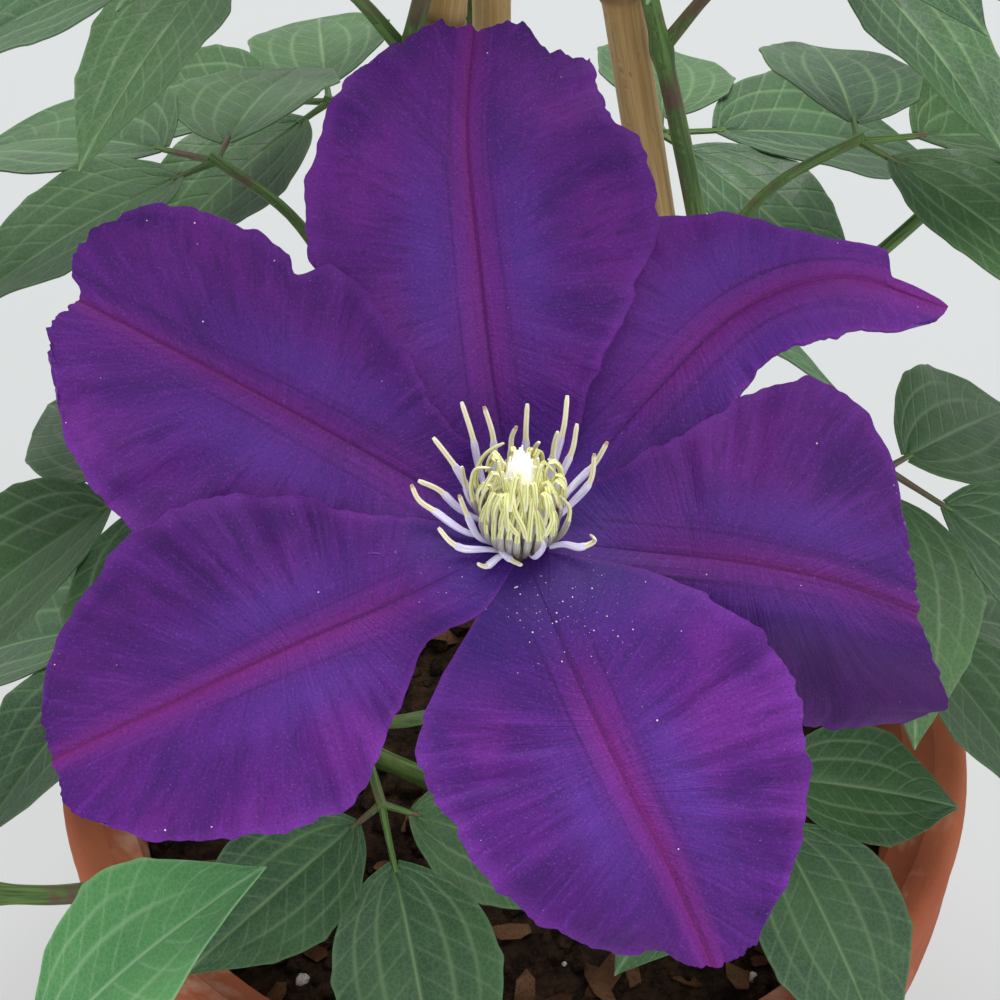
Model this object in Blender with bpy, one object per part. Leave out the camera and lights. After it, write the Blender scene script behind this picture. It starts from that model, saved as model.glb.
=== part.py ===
"""Potted clematis: a pot of soil, a wigwam of three canes, four leafy stems that climb it, and large blooms.

Lengths are in millimetres until an object is made, and angles in degrees. Z is up, and the origin is the
centre of the pot's flat base. The open side of the plant, with the largest bloom, faces -Y.
"""

import math
import random

import bmesh
import bpy
import numpy as np
from mathutils import Matrix, Vector

MM = 0.001
GAP = 0.3

POT_HEIGHT = 165
POT_FOOT_RADIUS = 62
POT_RIM_RADIUS = 98
POT_RIM_HEIGHT = 34
POT_RIM_STEP = 8
POT_WALL = 8
POT_FLOOR = 10
POT_SIDES = 32
DRAIN_RADIUS = 5.5
DRAIN_OFFSET = 34
DRAIN_COUNT = 4

SOIL_TOP = 146
SOIL_MOUND = 4
SOIL_CRUMB = 1.6
STEM_HOLE_ROOM = 0.7
CANE_HOLE_ROOM = 0.8
HOLE_DEPTH = 70
HOLE_SIDES = 10

CANE_RADIUS = 3.5
CANE_JOINT_SWELL = 1.14
CANE_FOOT = 100
CANE_TIE_HEIGHT = 448
CANE_TOP = 476
CANE_SOIL_RADIUS = 58
CANE_TIE_RADIUS = 4.6
CANE_ANGLES = {"cane_left": 210, "cane_right": 330, "cane_back": 90}
CANE_JOINT_SPACING = 92
CANE_SIDES = 7
TIE_HEIGHT = 9
TIE_THICKNESS = 2.2

STEM_RADIUS = 2.2
STEM_TIP_RADIUS = 1.3
STALK_RADIUS = 1.3
PETIOLE_RADIUS = 1.0
STEM_FOOT = 118
TWINE_RADIUS = 8.0
TWINE_PITCH = 560
STALK_SAG = 0.06

BLADE_THICKNESS = 0.8
TEPAL_THICKNESS = 0.8
HUB_RADIUS = 5.5
HUB_DEPTH = 6.0
HUB_SIDES = 10

# The large bloom is looked at from this distance and elevation, and faces that way.
VIEW_DISTANCE = 430
VIEW_ELEVATION = 45
HERO_CENTRE = (0, -92, 318)
HERO_LEAN = 38

WIDTH_STATIONS = (0, 0.1, 0.25, 0.4, 0.55, 0.7, 0.85, 0.95, 1)
TIP_STATIONS = (-1, -0.7, -0.35, 0, 0.35, 0.7, 1)
LIFT_STATIONS = (0, 0.3, 0.65, 1)
TIP_POWER = 7
BOWL_RADIUS = 17
DROOP = 0.0011
GROOVE = 0.9
GROOVE_HALF = 0.14

# The six tepals of the large bloom, seen from in front with x to the right and y up. Each has its midrib from
# the centre to the tip, its half-widths to the left and right of the midrib at WIDTH_STATIONS, and how far its
# end runs past the midrib's at TIP_STATIONS, from the left margin to the right. Its margins lift and its midrib
# rises by the values at LIFT_STATIONS. Its ruffle is a height, a number of waves and a phase, and its layer is
# how far in front of the hub it lies.
HERO_TEPALS = {
    "top": {
        "midrib": [(0, 2), (-4, 23), (-6.5, 43), (-8.3, 63), (-7.2, 79)],
        "left": (3, 8.5, 14.5, 20.5, 26, 24.5, 20, 16.8, 14.6),
        "right": (3, 9, 16, 23.3, 28.5, 27.2, 21.5, 19.5, 18.8),
        "tip": (-6.3, -2.2, 0.6, 0, 1.5, -2.8, -3.2),
        "lift": ((0, 3, 3, -1), (0, 2.5, 2, -3)),
        "rise": (0, -1, -1, -3),
        "ruffle": (1.2, 3.2, 0.4),
        "layer": -0.6,
    },
    "upper_right": {
        "midrib": [(2, 1), (20.5, 22.5), (35, 36), (50, 40.5), (65.5, 36)],
        "left": (3, 8, 14, 21, 14, 6.2, 3.4, 1.7, 0.8),
        "right": (3, 8, 11.5, 9.3, 8.6, 9.2, 7.6, 5.5, 2.5),
        "tip": (-0.5, 0.2, 0.6, 0.8, 0.6, 0.2, -0.5),
        "lift": ((0, 1, -1, 0), (0, 3, 8, 4)),
        "rise": (0, -0.5, 0, -6),
        "ruffle": (0.9, 2.6, 2.2),
        "layer": -3.4,
    },
    "right": {
        "midrib": [(3, 0), (18, -1.5), (33, -3), (48, -6), (61.5, -11)],
        "left": (3, 8.5, 15, 21, 28.4, 28.3, 18.5, 12.3, 10.5),
        "right": (3, 8.5, 15, 21, 24, 23, 22.3, 19.5, 17.2),
        "tip": (-6.3, -3.8, -1.5, 0.3, 5, 9.5, 4.5),
        "lift": ((0, 1, 3, 1), (0, -1, -9, -13)),
        "rise": (0, 0, 1, -4),
        "ruffle": (1.3, 2.4, 4.0),
        "layer": -0.8,
    },
    "bottom": {
        "midrib": [(1, -3), (9, -21), (16, -36), (23.5, -51), (29.5, -65)],
        "left": (3, 15, 25.5, 29.6, 29.2, 25.2, 18.2, 11.6, 8.3),
        "right": (3, 15, 27.6, 27.6, 26.6, 23.2, 17.8, 12.8, 10),
        "tip": (0, 1.0, 1.5, 1.3, -0.7, -4.8, -5),
        "lift": ((0, 2, 1, 0), (0, 1.5, 0, -3)),
        "rise": (0, 0.5, 1, -5),
        "ruffle": (1.0, 3.4, 1.2),
        "layer": 2.6,
    },
    "lower_left": {
        "midrib": [(-2, -1), (-18, -9), (-34, -16), (-52, -24.5), (-71, -33.5)],
        "left": (3, 7, 8, 18.2, 26, 24.8, 20.4, 15.2, 10.6),
        "right": (3, 8, 14.5, 21.6, 26.5, 26.5, 20.6, 13.8, 8),
        "tip": (0.6, 2.7, 2.0, 1.5, 1.0, 0.4, -0.2),
        "lift": ((0, -1, 2, 1), (0, 2, 5, 1)),
        "rise": (0, 0, 0.5, -4),
        "ruffle": (1.1, 3.0, 0.0),
        "layer": 2.0,
    },
    "upper_left": {
        "midrib": [(-3, 1), (-17, 9.5), (-33, 18.5), (-51, 28), (-68.5, 37)],
        "left": (3, 8, 14, 21.5, 27, 27.4, 23, 16, 10.8),
        "right": (3, 7.5, 10.6, 16.8, 22.6, 22.6, 22.3, 19.5, 16.5),
        "tip": (-1.2, 1.2, 1.9, 0, 3.6, 2.6, -0.5),
        "lift": ((0, 1, 3, 1), (0, 2.5, 5, 2)),
        "rise": (0, 0, -0.5, -3),
        "ruffle": (1.2, 3.3, 3.0),
        "layer": 0.9,
    },
}
HERO_GRID = (9, 6)

# Outer stamens of the large bloom: where each tip is seen from in front, and the stamen's length.
HERO_STAMEN_TIPS = [
    (-16.5, 8, 19), (-15.3, 9, 18.5), (-13.2, 15.2, 20.5), (-8.7, 20.7, 22.5), (-5.2, 20, 21.5),
    (1.4, 20.5, 21.5), (7.6, 21.5, 23), (9, 17.4, 20), (14, 14.6, 20.5), (11.8, 12.7, 18), (11.2, -0.9, 12.5),
    (-12.4, 1.2, 15), (-9.2, 6.4, 15), (-6, -4.5, 9.5), (-0.3, -4.4, 9), (3.4, -3.6, 10.5),
]
INNER_STAMENS = 13
BOSS_RADIUS = 6.6
BOSS_FOOT = 1.2
BOSS_HEIGHT = 13
CORE_RADIUS = 5.2
CORE_HEIGHT = 10
CORE_SIDES = 8
STAMEN_RADIUS = 0.75
STAMEN_TIP_RADIUS = 0.4
BUD_ASPECT = 0.23
BUD_RIDGE = 0.08

PLAIN_PROFILE = (0.12, 0.36, 0.72, 0.94, 1, 0.93, 0.7, 0.42, 0.16)
PLAIN_TIP = (-1.5, 0.5, 1.6, 2.4, 1.6, 0.5, -1.5)
PLAIN_GRID = (5, 4)
PLAIN_WIDTH = 0.36
PLAIN_LAYER = 2.4
PLAIN_REACH = 0.25
BLOOMS = {
    "bloom_left": {"centre": (-140, -30, 292), "facing": (200, 40), "size": 62, "cup": 3, "seed": 4},
    "bloom_right": {"centre": (126, 56, 332), "facing": (35, 42), "size": 64, "cup": 2, "seed": 11},
    "bloom_top": {"centre": (0, 24, 512), "facing": (292, 60), "size": 60, "cup": 5, "seed": 23},
}
PLAIN_STAMENS = 9
PLAIN_INNER_STAMENS = 6

BUDS = {
    "bud_left": {"tip": (-156, -112, 262), "facing": (215, 45), "length": 26},
    "bud_right": {"tip": (78, -30, 432), "facing": (340, 58), "length": 31},
    "bud_back": {"tip": (-58, 112, 372), "facing": (120, 50), "length": 25},
}

LEAF_OUTLINE = ((0.2, 0.86), (0.48, 1), (0.78, 0.52))
LEAF_ASPECT = 0.31
LEAF_ARCH = 0.2
LEAF_FOLD = 0.16
LEAF_SPREAD = 62
SIDE_LEAFLET = 0.82
LEAF_WAVE = 0.9
LEAF_STALK_HALF = 0.8
LEAFLET_SINK = 1.2


def unit(vector):
    """The vector at length 1."""
    vector = np.asarray(vector, float)
    return vector / np.linalg.norm(vector, axis=-1, keepdims=True)


def toward(azimuth, elevation):
    """Unit vector at an azimuth from +X towards +Y, and an elevation above the horizon."""
    a = math.radians(azimuth)
    e = math.radians(elevation)
    return np.array((math.cos(a) * math.cos(e), math.sin(a) * math.cos(e), math.sin(e)))


def smooth(stations, values, t):
    """Value at t of the smooth curve that passes through the values at the stations."""
    stations = np.asarray(stations, float)
    values = np.asarray(values, float)
    t = np.asarray(t, float)
    slopes = np.gradient(values, stations, axis=0)
    i = np.clip(np.searchsorted(stations, t, side="right") - 1, 0, len(stations) - 2)
    span = stations[i + 1] - stations[i]
    s = (t - stations[i]) / span
    if values.ndim > 1:
        s = s[..., None]
        span = span[..., None]
    start = (1 + 2 * s) * (1 - s) ** 2 * values[i] + s * (1 - s) ** 2 * span * slopes[i]
    end = s * s * (3 - 2 * s) * values[i + 1] + s * s * (s - 1) * span * slopes[i + 1]
    return start + end


def along(points, t):
    """Point at t, from 0 to 1, of the smooth route through the points, spaced by their distances."""
    points = np.asarray(points, float)
    steps = np.linalg.norm(np.diff(points, axis=0), axis=1)
    stations = np.concatenate([[0], np.cumsum(steps)]) / steps.sum()
    return smooth(stations, points, t)


def material(name, colour, roughness, metallic=0.0):
    """A plain finish."""
    made = bpy.data.materials.new(name)
    made.use_nodes = True
    shader = made.node_tree.nodes["Principled BSDF"]
    shader.inputs["Base Color"].default_value = (*colour, 1)
    shader.inputs["Roughness"].default_value = roughness
    shader.inputs["Metallic"].default_value = metallic
    return made


def add_mesh(name, points, faces, finish=None):
    """An object from points in millimetres, linked to the scene."""
    mesh = bpy.data.meshes.new(name)
    mesh.from_pydata([Vector(p) * MM for p in points], [], [list(f) for f in faces])
    obj = bpy.data.objects.new(name, mesh)
    bpy.context.scene.collection.objects.link(obj)
    if finish:
        mesh.materials.append(finish)
    return obj


def face_outwards(obj):
    """Turns the faces of a closed mesh to point out, and shades it smooth."""
    work = bmesh.new()
    work.from_mesh(obj.data)
    bmesh.ops.recalc_face_normals(work, faces=work.faces)
    work.to_mesh(obj.data)
    work.free()
    obj.data.shade_smooth()
    obj.data.set_sharp_from_angle(angle=math.radians(40))


def rod_faces(rings, sides):
    """Faces of a closed rod whose points go round it ring by ring."""
    faces = [
        (i * sides + k, i * sides + (k + 1) % sides, (i + 1) * sides + (k + 1) % sides, (i + 1) * sides + k)
        for i in range(rings - 1)
        for k in range(sides)
    ]
    return faces + [range(sides - 1, -1, -1), range((rings - 1) * sides, rings * sides)]


def tube(points, radii, sides, rings):
    """A closed round rod along the smooth route through the points."""
    t = np.linspace(0, 1, rings)
    line = along(points, t)
    ahead = unit(np.gradient(line, axis=0))
    radius = np.interp(t, np.linspace(0, 1, len(radii)), radii)
    side = unit(np.cross(ahead[0], (0.31, 0.87, 0.38)))
    made = []
    for centre, direction, r in zip(line, ahead, radius):
        side = unit(side - direction * np.dot(side, direction))
        over = np.cross(direction, side)
        for k in range(sides):
            turn = 2 * math.pi * k / sides
            made.append(centre + r * (math.cos(turn) * side + math.sin(turn) * over))
    obj = add_mesh("rod", made, rod_faces(rings, sides))
    face_outwards(obj)
    return obj


def turned(profile, sides, swell=None):
    """A closed solid turned about Z from (radius, height) points that start and end on the axis."""
    inner = profile[1:-1]
    made = [(0, 0, profile[0][1])]
    for radius, height in inner:
        for k in range(sides):
            turn = 2 * math.pi * k / sides
            r = radius * (swell(turn, height) if swell else 1)
            made.append((r * math.cos(turn), r * math.sin(turn), height))
    made.append((0, 0, profile[-1][1]))
    last = len(made) - 1
    faces = []
    for k in range(sides):
        after = (k + 1) % sides
        faces.append((0, 1 + after, 1 + k))
        for i in range(len(inner) - 1):
            low = 1 + i * sides
            faces.append((low + k, low + after, low + sides + after, low + sides + k))
        top = 1 + (len(inner) - 1) * sides
        faces.append((top + k, top + after, last))
    obj = add_mesh("turned", made, faces)
    face_outwards(obj)
    return obj


def sheet(grid, thickness):
    """A closed thin blade from a grid of points, split into triangles alike on both faces."""
    rows, columns = grid.shape[:2]
    down = np.gradient(grid, axis=0)
    across = np.gradient(grid, axis=1)
    normal = unit(np.cross(across, down))
    points = np.concatenate([
        (grid + normal * thickness / 2).reshape(-1, 3),
        (grid - normal * thickness / 2).reshape(-1, 3),
    ])
    count = rows * columns
    faces = []
    for i in range(rows - 1):
        for j in range(columns - 1):
            a = i * columns + j
            b = a + 1
            c = a + columns
            d = c + 1
            faces += [(a, b, d), (a, d, c)]
            faces += [(count + a, count + d, count + b), (count + a, count + c, count + d)]
    rim = [j for j in range(columns)]
    rim += [i * columns + columns - 1 for i in range(1, rows)]
    rim += [(rows - 1) * columns + j for j in range(columns - 2, -1, -1)]
    rim += [i * columns for i in range(rows - 2, 0, -1)]
    for a, b in zip(rim, rim[1:] + rim[:1]):
        faces += [(a, count + b, b), (a, count + a, count + b)]
    obj = add_mesh("sheet", points, faces)
    face_outwards(obj)
    return obj


def place(obj, centre, axes):
    """Moves a mesh made about the origin to a centre, with its X, Y and Z along the given axes."""
    turn = Matrix(np.array(axes).T.tolist()).to_4x4()
    obj.data.transform(Matrix.Translation(Vector(centre) * MM) @ turn)
    return obj


def fuse(name, pieces, finish):
    """Joins overlapping closed pieces into one body."""
    base = pieces[0]
    others = bpy.data.collections.new(name + "_pieces")
    bpy.context.scene.collection.children.link(others)
    for piece in pieces[1:]:
        others.objects.link(piece)
        bpy.context.scene.collection.objects.unlink(piece)
    join = base.modifiers.new("Join", "BOOLEAN")
    join.operation = "UNION"
    join.operand_type = "COLLECTION"
    join.collection = others
    join.solver = "MANIFOLD"
    apply_modifier(base, join)
    for piece in list(others.objects):
        bpy.data.objects.remove(piece)
    bpy.data.collections.remove(others)
    base.name = name
    keep_outer_body(base)
    base.data.materials.clear()
    base.data.materials.append(finish)
    base.data.shade_smooth()
    base.data.set_sharp_from_angle(angle=math.radians(40))
    return base


def apply_modifier(obj, modifier):
    """Applies a modifier to its object."""
    with bpy.context.temp_override(object=obj):
        bpy.ops.object.modifier_apply(modifier=modifier.name)


def keep_outer_body(obj):
    """Fills hollows that joining has sealed, and drops loose scraps, so that one body is left."""
    work = bmesh.new()
    work.from_mesh(obj.data)
    bodies = []
    left = set(work.faces)
    while left:
        body = [left.pop()]
        for face in body:
            for edge in face.edges:
                for other in edge.link_faces:
                    if other in left:
                        left.remove(other)
                        body.append(other)
        bodies.append(body)
    bodies.sort(key=lambda body: sum(f.calc_area() for f in body))
    if len(bodies) > 1:
        scraps = {vertex for body in bodies[:-1] for face in body for vertex in face.verts}
        bmesh.ops.delete(work, geom=list(scraps), context="VERTS")
        work.to_mesh(obj.data)
    work.free()


def cut(obj, cutters):
    """Cuts closed pieces out of an object, and removes them."""
    for cutter in cutters:
        hole = obj.modifiers.new("Cut", "BOOLEAN")
        hole.operation = "DIFFERENCE"
        hole.object = cutter
        apply_modifier(obj, hole)
        bpy.data.objects.remove(cutter)


def bloom_axes(azimuth, elevation):
    """Right, up and outward axes of something that faces outwards at an azimuth and elevation."""
    out = toward(azimuth, elevation)
    right = unit(np.cross((0, 0, 1), out))
    return [right, np.cross(out, right), out]


def tepal_surface(tepal, lean, u, v):
    """Middle surface of a tepal in its bloom's axes: u runs from centre to tip, v from left margin to right."""
    stations = np.linspace(0, 1, len(tepal["midrib"]))
    spine = smooth(stations, tepal["midrib"], u)
    ahead = unit(
        smooth(stations, tepal["midrib"], np.minimum(u + 0.02, 1))
        - smooth(stations, tepal["midrib"], np.maximum(u - 0.02, 0))
    )
    right = np.stack([ahead[..., 1], -ahead[..., 0]], -1)
    side = (v > 0).astype(int)
    width = np.choose(side, [smooth(WIDTH_STATIONS, tepal[k], u) for k in ("left", "right")])
    tip = smooth(TIP_STATIONS, tepal["tip"], v)
    flat = spine + right * (v * width)[..., None] + ahead * (tip * u**TIP_POWER)[..., None]
    x = flat[..., 0]
    y = flat[..., 1]
    reach = x * x + y * y
    edge = np.abs(v)
    lift = np.choose(side, [smooth(LIFT_STATIONS, k, u) for k in tepal["lift"]])
    height, waves, phase = tepal["ruffle"]
    z = tepal["layer"] * np.minimum(u / 0.2, 1) + smooth(LIFT_STATIONS, tepal["rise"], u)
    z -= math.tan(math.radians(lean)) * y * np.exp(-reach / BOWL_RADIUS**2) + DROOP * reach
    z += lift * edge**1.6 - GROOVE * np.exp(-((v / GROOVE_HALF) ** 2)) * np.sin(math.pi * u)
    z += height * edge**3 * np.sin(2 * math.pi * waves * u + phase + 1.7 * side) * np.sin(math.pi * u**0.8)
    seen = 1 - z / VIEW_DISTANCE
    return np.stack([x * seen, y * seen, z], -1)


def tepal_blade(tepal, lean, rows, columns):
    """One tepal as a thin closed blade."""
    u, v = np.meshgrid(np.linspace(0, 1, rows + 1), np.linspace(-1, 1, columns + 1), indexing="ij")
    return sheet(tepal_surface(tepal, lean, u, v), TEPAL_THICKNESS)


def plain_tepals(bloom):
    """The six tepals of a smaller bloom, three inner ones over three outer ones."""
    draw = random.Random(bloom["seed"])
    made = []
    for k in range(6):
        turn = math.radians(60 * k + draw.uniform(-6, 6))
        length = bloom["size"] * draw.uniform(0.93, 1.07)
        bend = draw.uniform(-5, 5)
        reach = (0.04, 0.3, 0.55, 0.78, 1)
        midrib = [
            (length * r * math.cos(turn) - bend * r * r * math.sin(turn),
             length * r * math.sin(turn) + bend * r * r * math.cos(turn))
            for r in reach
        ]
        width = PLAIN_WIDTH * bloom["size"] * draw.uniform(0.9, 1.08)
        cup = bloom["cup"]
        made.append({
            "midrib": midrib,
            "left": [width * p for p in PLAIN_PROFILE],
            "right": [width * p * draw.uniform(0.97, 1.05) for p in PLAIN_PROFILE],
            "tip": PLAIN_TIP,
            "lift": ((0, 2, draw.uniform(1, 5), 1), (0, 2, draw.uniform(1, 5), 1)),
            "rise": (0, 0.35 * cup, 0.9 * cup, cup + draw.uniform(-5, 0)),
            "ruffle": (1.0, draw.uniform(2.4, 3.4), draw.uniform(0, 6)),
            "layer": PLAIN_LAYER * (k % 2),
        })
    return made


def boss_axes(lean):
    """Axes of the stamen boss in its bloom's axes: it leans up from the bloom's own outward axis."""
    a = math.radians(lean)
    up = np.array((0, math.cos(a), -math.sin(a)))
    return [np.array((1, 0, 0)), up, np.array((0, math.sin(a), math.cos(a)))]


def stamen(base, tip, boss_axis):
    """A slender stamen that leaves its base along the boss and bows out to its tip."""
    reach = np.linalg.norm(tip - base)
    knee = base + 0.45 * (tip - base) + 0.12 * reach * boss_axis
    return tube([base, knee, tip], (STAMEN_RADIUS, STAMEN_RADIUS, STAMEN_TIP_RADIUS), 3, 3)


def boss(lean, tips, inner):
    """The stamens and styles in the middle of a bloom, in its axes: a low dome that stamens stand out of."""
    axes = boss_axes(lean)
    axis = axes[2]
    foot = BOSS_FOOT
    profile = [
        (0, foot), (0.85 * CORE_RADIUS, foot), (CORE_RADIUS, 0.6 * CORE_HEIGHT),
        (0.62 * CORE_RADIUS, CORE_HEIGHT), (0, CORE_HEIGHT + 1),
    ]
    pieces = [place(turned(profile, CORE_SIDES), (0, 0, 0), axes)]
    for x, y, length in tips:
        tip = np.array((x, y, math.sqrt(max(length**2 - x * x - y * y, 4.0))))
        out = unit(tip - axis * np.dot(tip, axis))
        pieces.append(stamen(axis * (foot + 2) + out * 3.4, tip, axis))
    for k in range(inner):
        turn = math.radians(360 * k / inner + 7)
        out = axes[0] * math.cos(turn) + axes[1] * math.sin(turn)
        tall = BOSS_HEIGHT * (0.9 + 0.14 * math.sin(2.4 * k))
        start = axis * (foot + 1.6) + out * 3
        knee = axis * tall * 0.66 + out * BOSS_RADIUS
        end = axis * (tall + 0.6) + out * BOSS_RADIUS * (0.6 + 0.14 * math.sin(5 * k))
        pieces.append(tube([start, knee, end], (1.0, 1.1, 0.6), 3, 4))
    return pieces


def plain_tips(size):
    """Tips of the outer stamens of a smaller bloom."""
    reach = PLAIN_REACH * size
    made = []
    for k in range(PLAIN_STAMENS):
        turn = 2 * math.pi * (k + 0.3 * math.sin(4 * k)) / PLAIN_STAMENS
        made.append((reach * math.cos(turn), reach * math.sin(turn), reach * (1.2 + 0.1 * math.sin(3 * k))))
    return made


def make_bloom(name, centre, axes, lean, tepals, grid, tips, inner, looks):
    """A bloom: its tepals joined at the hub that holds them, and its stamens."""
    foot = STALK_RADIUS + 0.9
    profile = [(0, -HUB_DEPTH), (foot, -HUB_DEPTH), (HUB_RADIUS, -HUB_DEPTH / 3), (HUB_RADIUS, 0), (0, 0)]
    hub = place(turned(profile, HUB_SIDES), (0, 0, 0), boss_axes(lean))
    pieces = [hub] + [tepal_blade(t, lean, *grid) for t in tepals]
    place(fuse(name + "_tepals", pieces, looks["tepal"]), centre, axes)
    place(fuse(name + "_stamens", boss(lean, tips, inner), looks["stamen"]), centre, axes)


def stalk_end(centre, axes, lean):
    """Where a bloom's stalk ends, just short of its hub, and the direction that it arrives in."""
    axis = np.array(axes).T @ boss_axes(lean)[2]
    return np.asarray(centre, float) - axis * (HUB_DEPTH + GAP), axis


def stalk(start, end, arriving, bow):
    """A flower stalk from a stem to the point where it arrives at a bloom or bud."""
    below = end - arriving * bow
    middle = 0.5 * (start + below) - np.array((0, 0, STALK_SAG)) * np.linalg.norm(below - start)
    return tube([start, middle, below, end], (STALK_RADIUS, STALK_RADIUS), 4, 8)


def make_bud(name, bud, finish):
    """A pointed bud with six low ridges. It gives where the stalk ends and the direction it arrives in."""
    length = bud["length"]
    wide = BUD_ASPECT * length
    profile = [(0, 0), (0.3 * wide, 0), (0.85 * wide, 0.14 * length), (wide, 0.36 * length),
               (0.72 * wide, 0.66 * length), (0.2 * wide, 0.93 * length), (0, length)]
    obj = turned(profile, 12, lambda turn, height: 1 + BUD_RIDGE * math.cos(6 * turn))
    obj.name = name
    obj.data.materials.append(finish)
    axes = bloom_axes(*bud["facing"])
    foot = np.array(bud["tip"]) - axes[2] * length
    place(obj, foot, axes)
    return foot - axes[2] * GAP, axes[2]


def cane_point(angle, height):
    """Centre of a cane at a height. The canes lean in and pass each other where they are tied."""
    run = (CANE_TIE_HEIGHT - height) * CANE_SOIL_RADIUS / (CANE_TIE_HEIGHT - SOIL_TOP)
    a = math.radians(angle)
    return np.array((
        run * math.cos(a) - CANE_TIE_RADIUS * math.sin(a),
        run * math.sin(a) + CANE_TIE_RADIUS * math.cos(a),
        height,
    ))


def make_cane(name, finish):
    """A bamboo cane, with a low ring at each of its joints."""
    angle = CANE_ANGLES[name]
    stations = [(CANE_FOOT, 1)]
    for joint in range(SOIL_TOP + 30, CANE_TIE_HEIGHT - TIE_HEIGHT, CANE_JOINT_SPACING):
        stations += [(joint - 3, 1), (joint, CANE_JOINT_SWELL), (joint + 3, 1)]
    stations.append((CANE_TOP, 1))
    axis = unit(cane_point(angle, CANE_TOP) - cane_point(angle, CANE_FOOT))
    side = unit(np.cross(axis, (0, 0, 1)))
    over = np.cross(axis, side)
    points = []
    for height, swell in stations:
        for k in range(CANE_SIDES):
            turn = 2 * math.pi * k / CANE_SIDES
            out = math.cos(turn) * side + math.sin(turn) * over
            points.append(cane_point(angle, height) + CANE_RADIUS * swell * out)
    obj = add_mesh(name, points, rod_faces(len(stations), CANE_SIDES), finish)
    face_outwards(obj)


def make_tie(finish):
    """The band of twine drawn round the three canes."""
    points = []
    corners = 18
    for k in range(corners):
        turn = 2 * math.pi * k / corners
        out = np.array((math.cos(turn), math.sin(turn), 0))
        for end, thick in ((-1, 0), (1, 0), (1, 0.8), (-1, 0.8)):
            height = CANE_TIE_HEIGHT + end * TIE_HEIGHT / 2 * (1 - 0.25 * thick)
            widest = max((cane_point(a, height) for a in CANE_ANGLES.values()), key=lambda c: c @ out)
            points.append(widest + out * (CANE_RADIUS * 1.02 + GAP + TIE_THICKNESS * thick))
    faces = []
    for k in range(corners):
        a = 4 * k
        b = 4 * ((k + 1) % corners)
        faces += [(a + i, b + i, b + (i + 1) % 4, a + (i + 1) % 4) for i in range(4)]
    obj = add_mesh("cane_tie", points, faces, finish)
    face_outwards(obj)


def twining_route(angle, crown, begin, end, turn, ways):
    """A stem's route: up out of the soil at its crown, out to its cane, and round it in a loose coil."""
    points = [np.array((*crown, z)) for z in (STEM_FOOT, SOIL_TOP - 4, SOIL_TOP + 8)]
    steps = round((end - begin) / 24)
    coil = []
    for height in np.linspace(begin, end, steps + 1):
        side = math.radians(turn + ways * 360 * (height - begin) / TWINE_PITCH)
        coil.append(cane_point(angle, height) + TWINE_RADIUS * np.array((math.cos(side), math.sin(side), 0)))
    return points + [0.4 * points[-1] + 0.6 * coil[0] + np.array((0, 0, -5))] + coil


def level(route, height):
    """The point of a route at a height."""
    line = along(route, np.linspace(0, 1, 400))
    return line[np.argmax(line[:, 2] >= height)] if line[-1, 2] >= height else line[-1]


def leaflet(root, ahead, up, stalk_length, length):
    """A pointed oval leaflet on a short tapering stalk, folded a little at its midrib and arching down."""
    up = unit(up - ahead * np.dot(up, ahead))
    side = np.cross(ahead, up)
    base = root + ahead * stalk_length
    left = [base - side * LEAF_STALK_HALF]
    middle = [base]
    right = [base + side * LEAF_STALK_HALF]
    for row, (u, share) in enumerate(LEAF_OUTLINE):
        half = LEAF_ASPECT * length * share
        spine = base + ahead * length * u - up * LEAF_ARCH * length * u * u
        turn = LEAF_WAVE * (-1) ** row
        left.append(spine - side * half + up * (LEAF_FOLD * half + turn))
        middle.append(spine)
        right.append(spine + side * half + up * (LEAF_FOLD * half - turn))
    tip = base + ahead * length - up * LEAF_ARCH * length
    rows = len(middle)
    one_side = left + middle + right + [root, tip]
    count = len(one_side)
    points = [p + side_up * up * BLADE_THICKNESS / 2 for side_up in (1, -1) for p in one_side]
    faces = []
    for start in (0, count):
        for a, b in ((0, rows), (rows, 2 * rows)):
            faces.append((start + a, start + b, start + count - 2))
            for k in range(rows - 1):
                near = start + a + k
                far = start + b + k
                faces += [(near, far, far + 1), (near, far + 1, near + 1)]
            faces.append((start + a + rows - 1, start + b + rows - 1, start + count - 1))
    rim = list(range(rows)) + [count - 1] + list(range(3 * rows - 1, 2 * rows - 1, -1)) + [count - 2]
    for a, b in zip(rim, rim[1:] + rim[:1]):
        faces += [(a, b, count + b), (a, count + b, count + a)]
    obj = add_mesh("leaflet", points, faces)
    face_outwards(obj)
    return obj


def make_leaf(root, azimuth, elevation, petiole, length, pitch, leaflets=3, turn=0):
    """A leaf on its stalk: one leaflet at the end, and a pair beside it where it has three."""
    end = root + petiole * toward(azimuth, elevation)
    knee = root + 0.5 * petiole * toward(azimuth, elevation + 16)
    ahead = toward(azimuth + turn, pitch)
    up = np.cross(ahead, toward(azimuth + turn + 90, 0))
    across = np.cross(ahead, up)
    pieces = [tube([root, knee, end], (1.2 * PETIOLE_RADIUS, PETIOLE_RADIUS), 4, 4)]
    inside = end - LEAFLET_SINK * toward(azimuth, elevation)
    fan = [(0, 0.26, 1)]
    if leaflets == 3:
        fan += [(-LEAF_SPREAD, 0.14, SIDE_LEAFLET), (LEAF_SPREAD, 0.14, SIDE_LEAFLET)]
    for spread, foot, share in fan:
        a = math.radians(spread)
        away = unit(math.cos(a) * ahead + math.sin(a) * across - 0.06 * up)
        pieces.append(leaflet(inside, away, up, foot * length, length * share))
    return pieces


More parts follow.
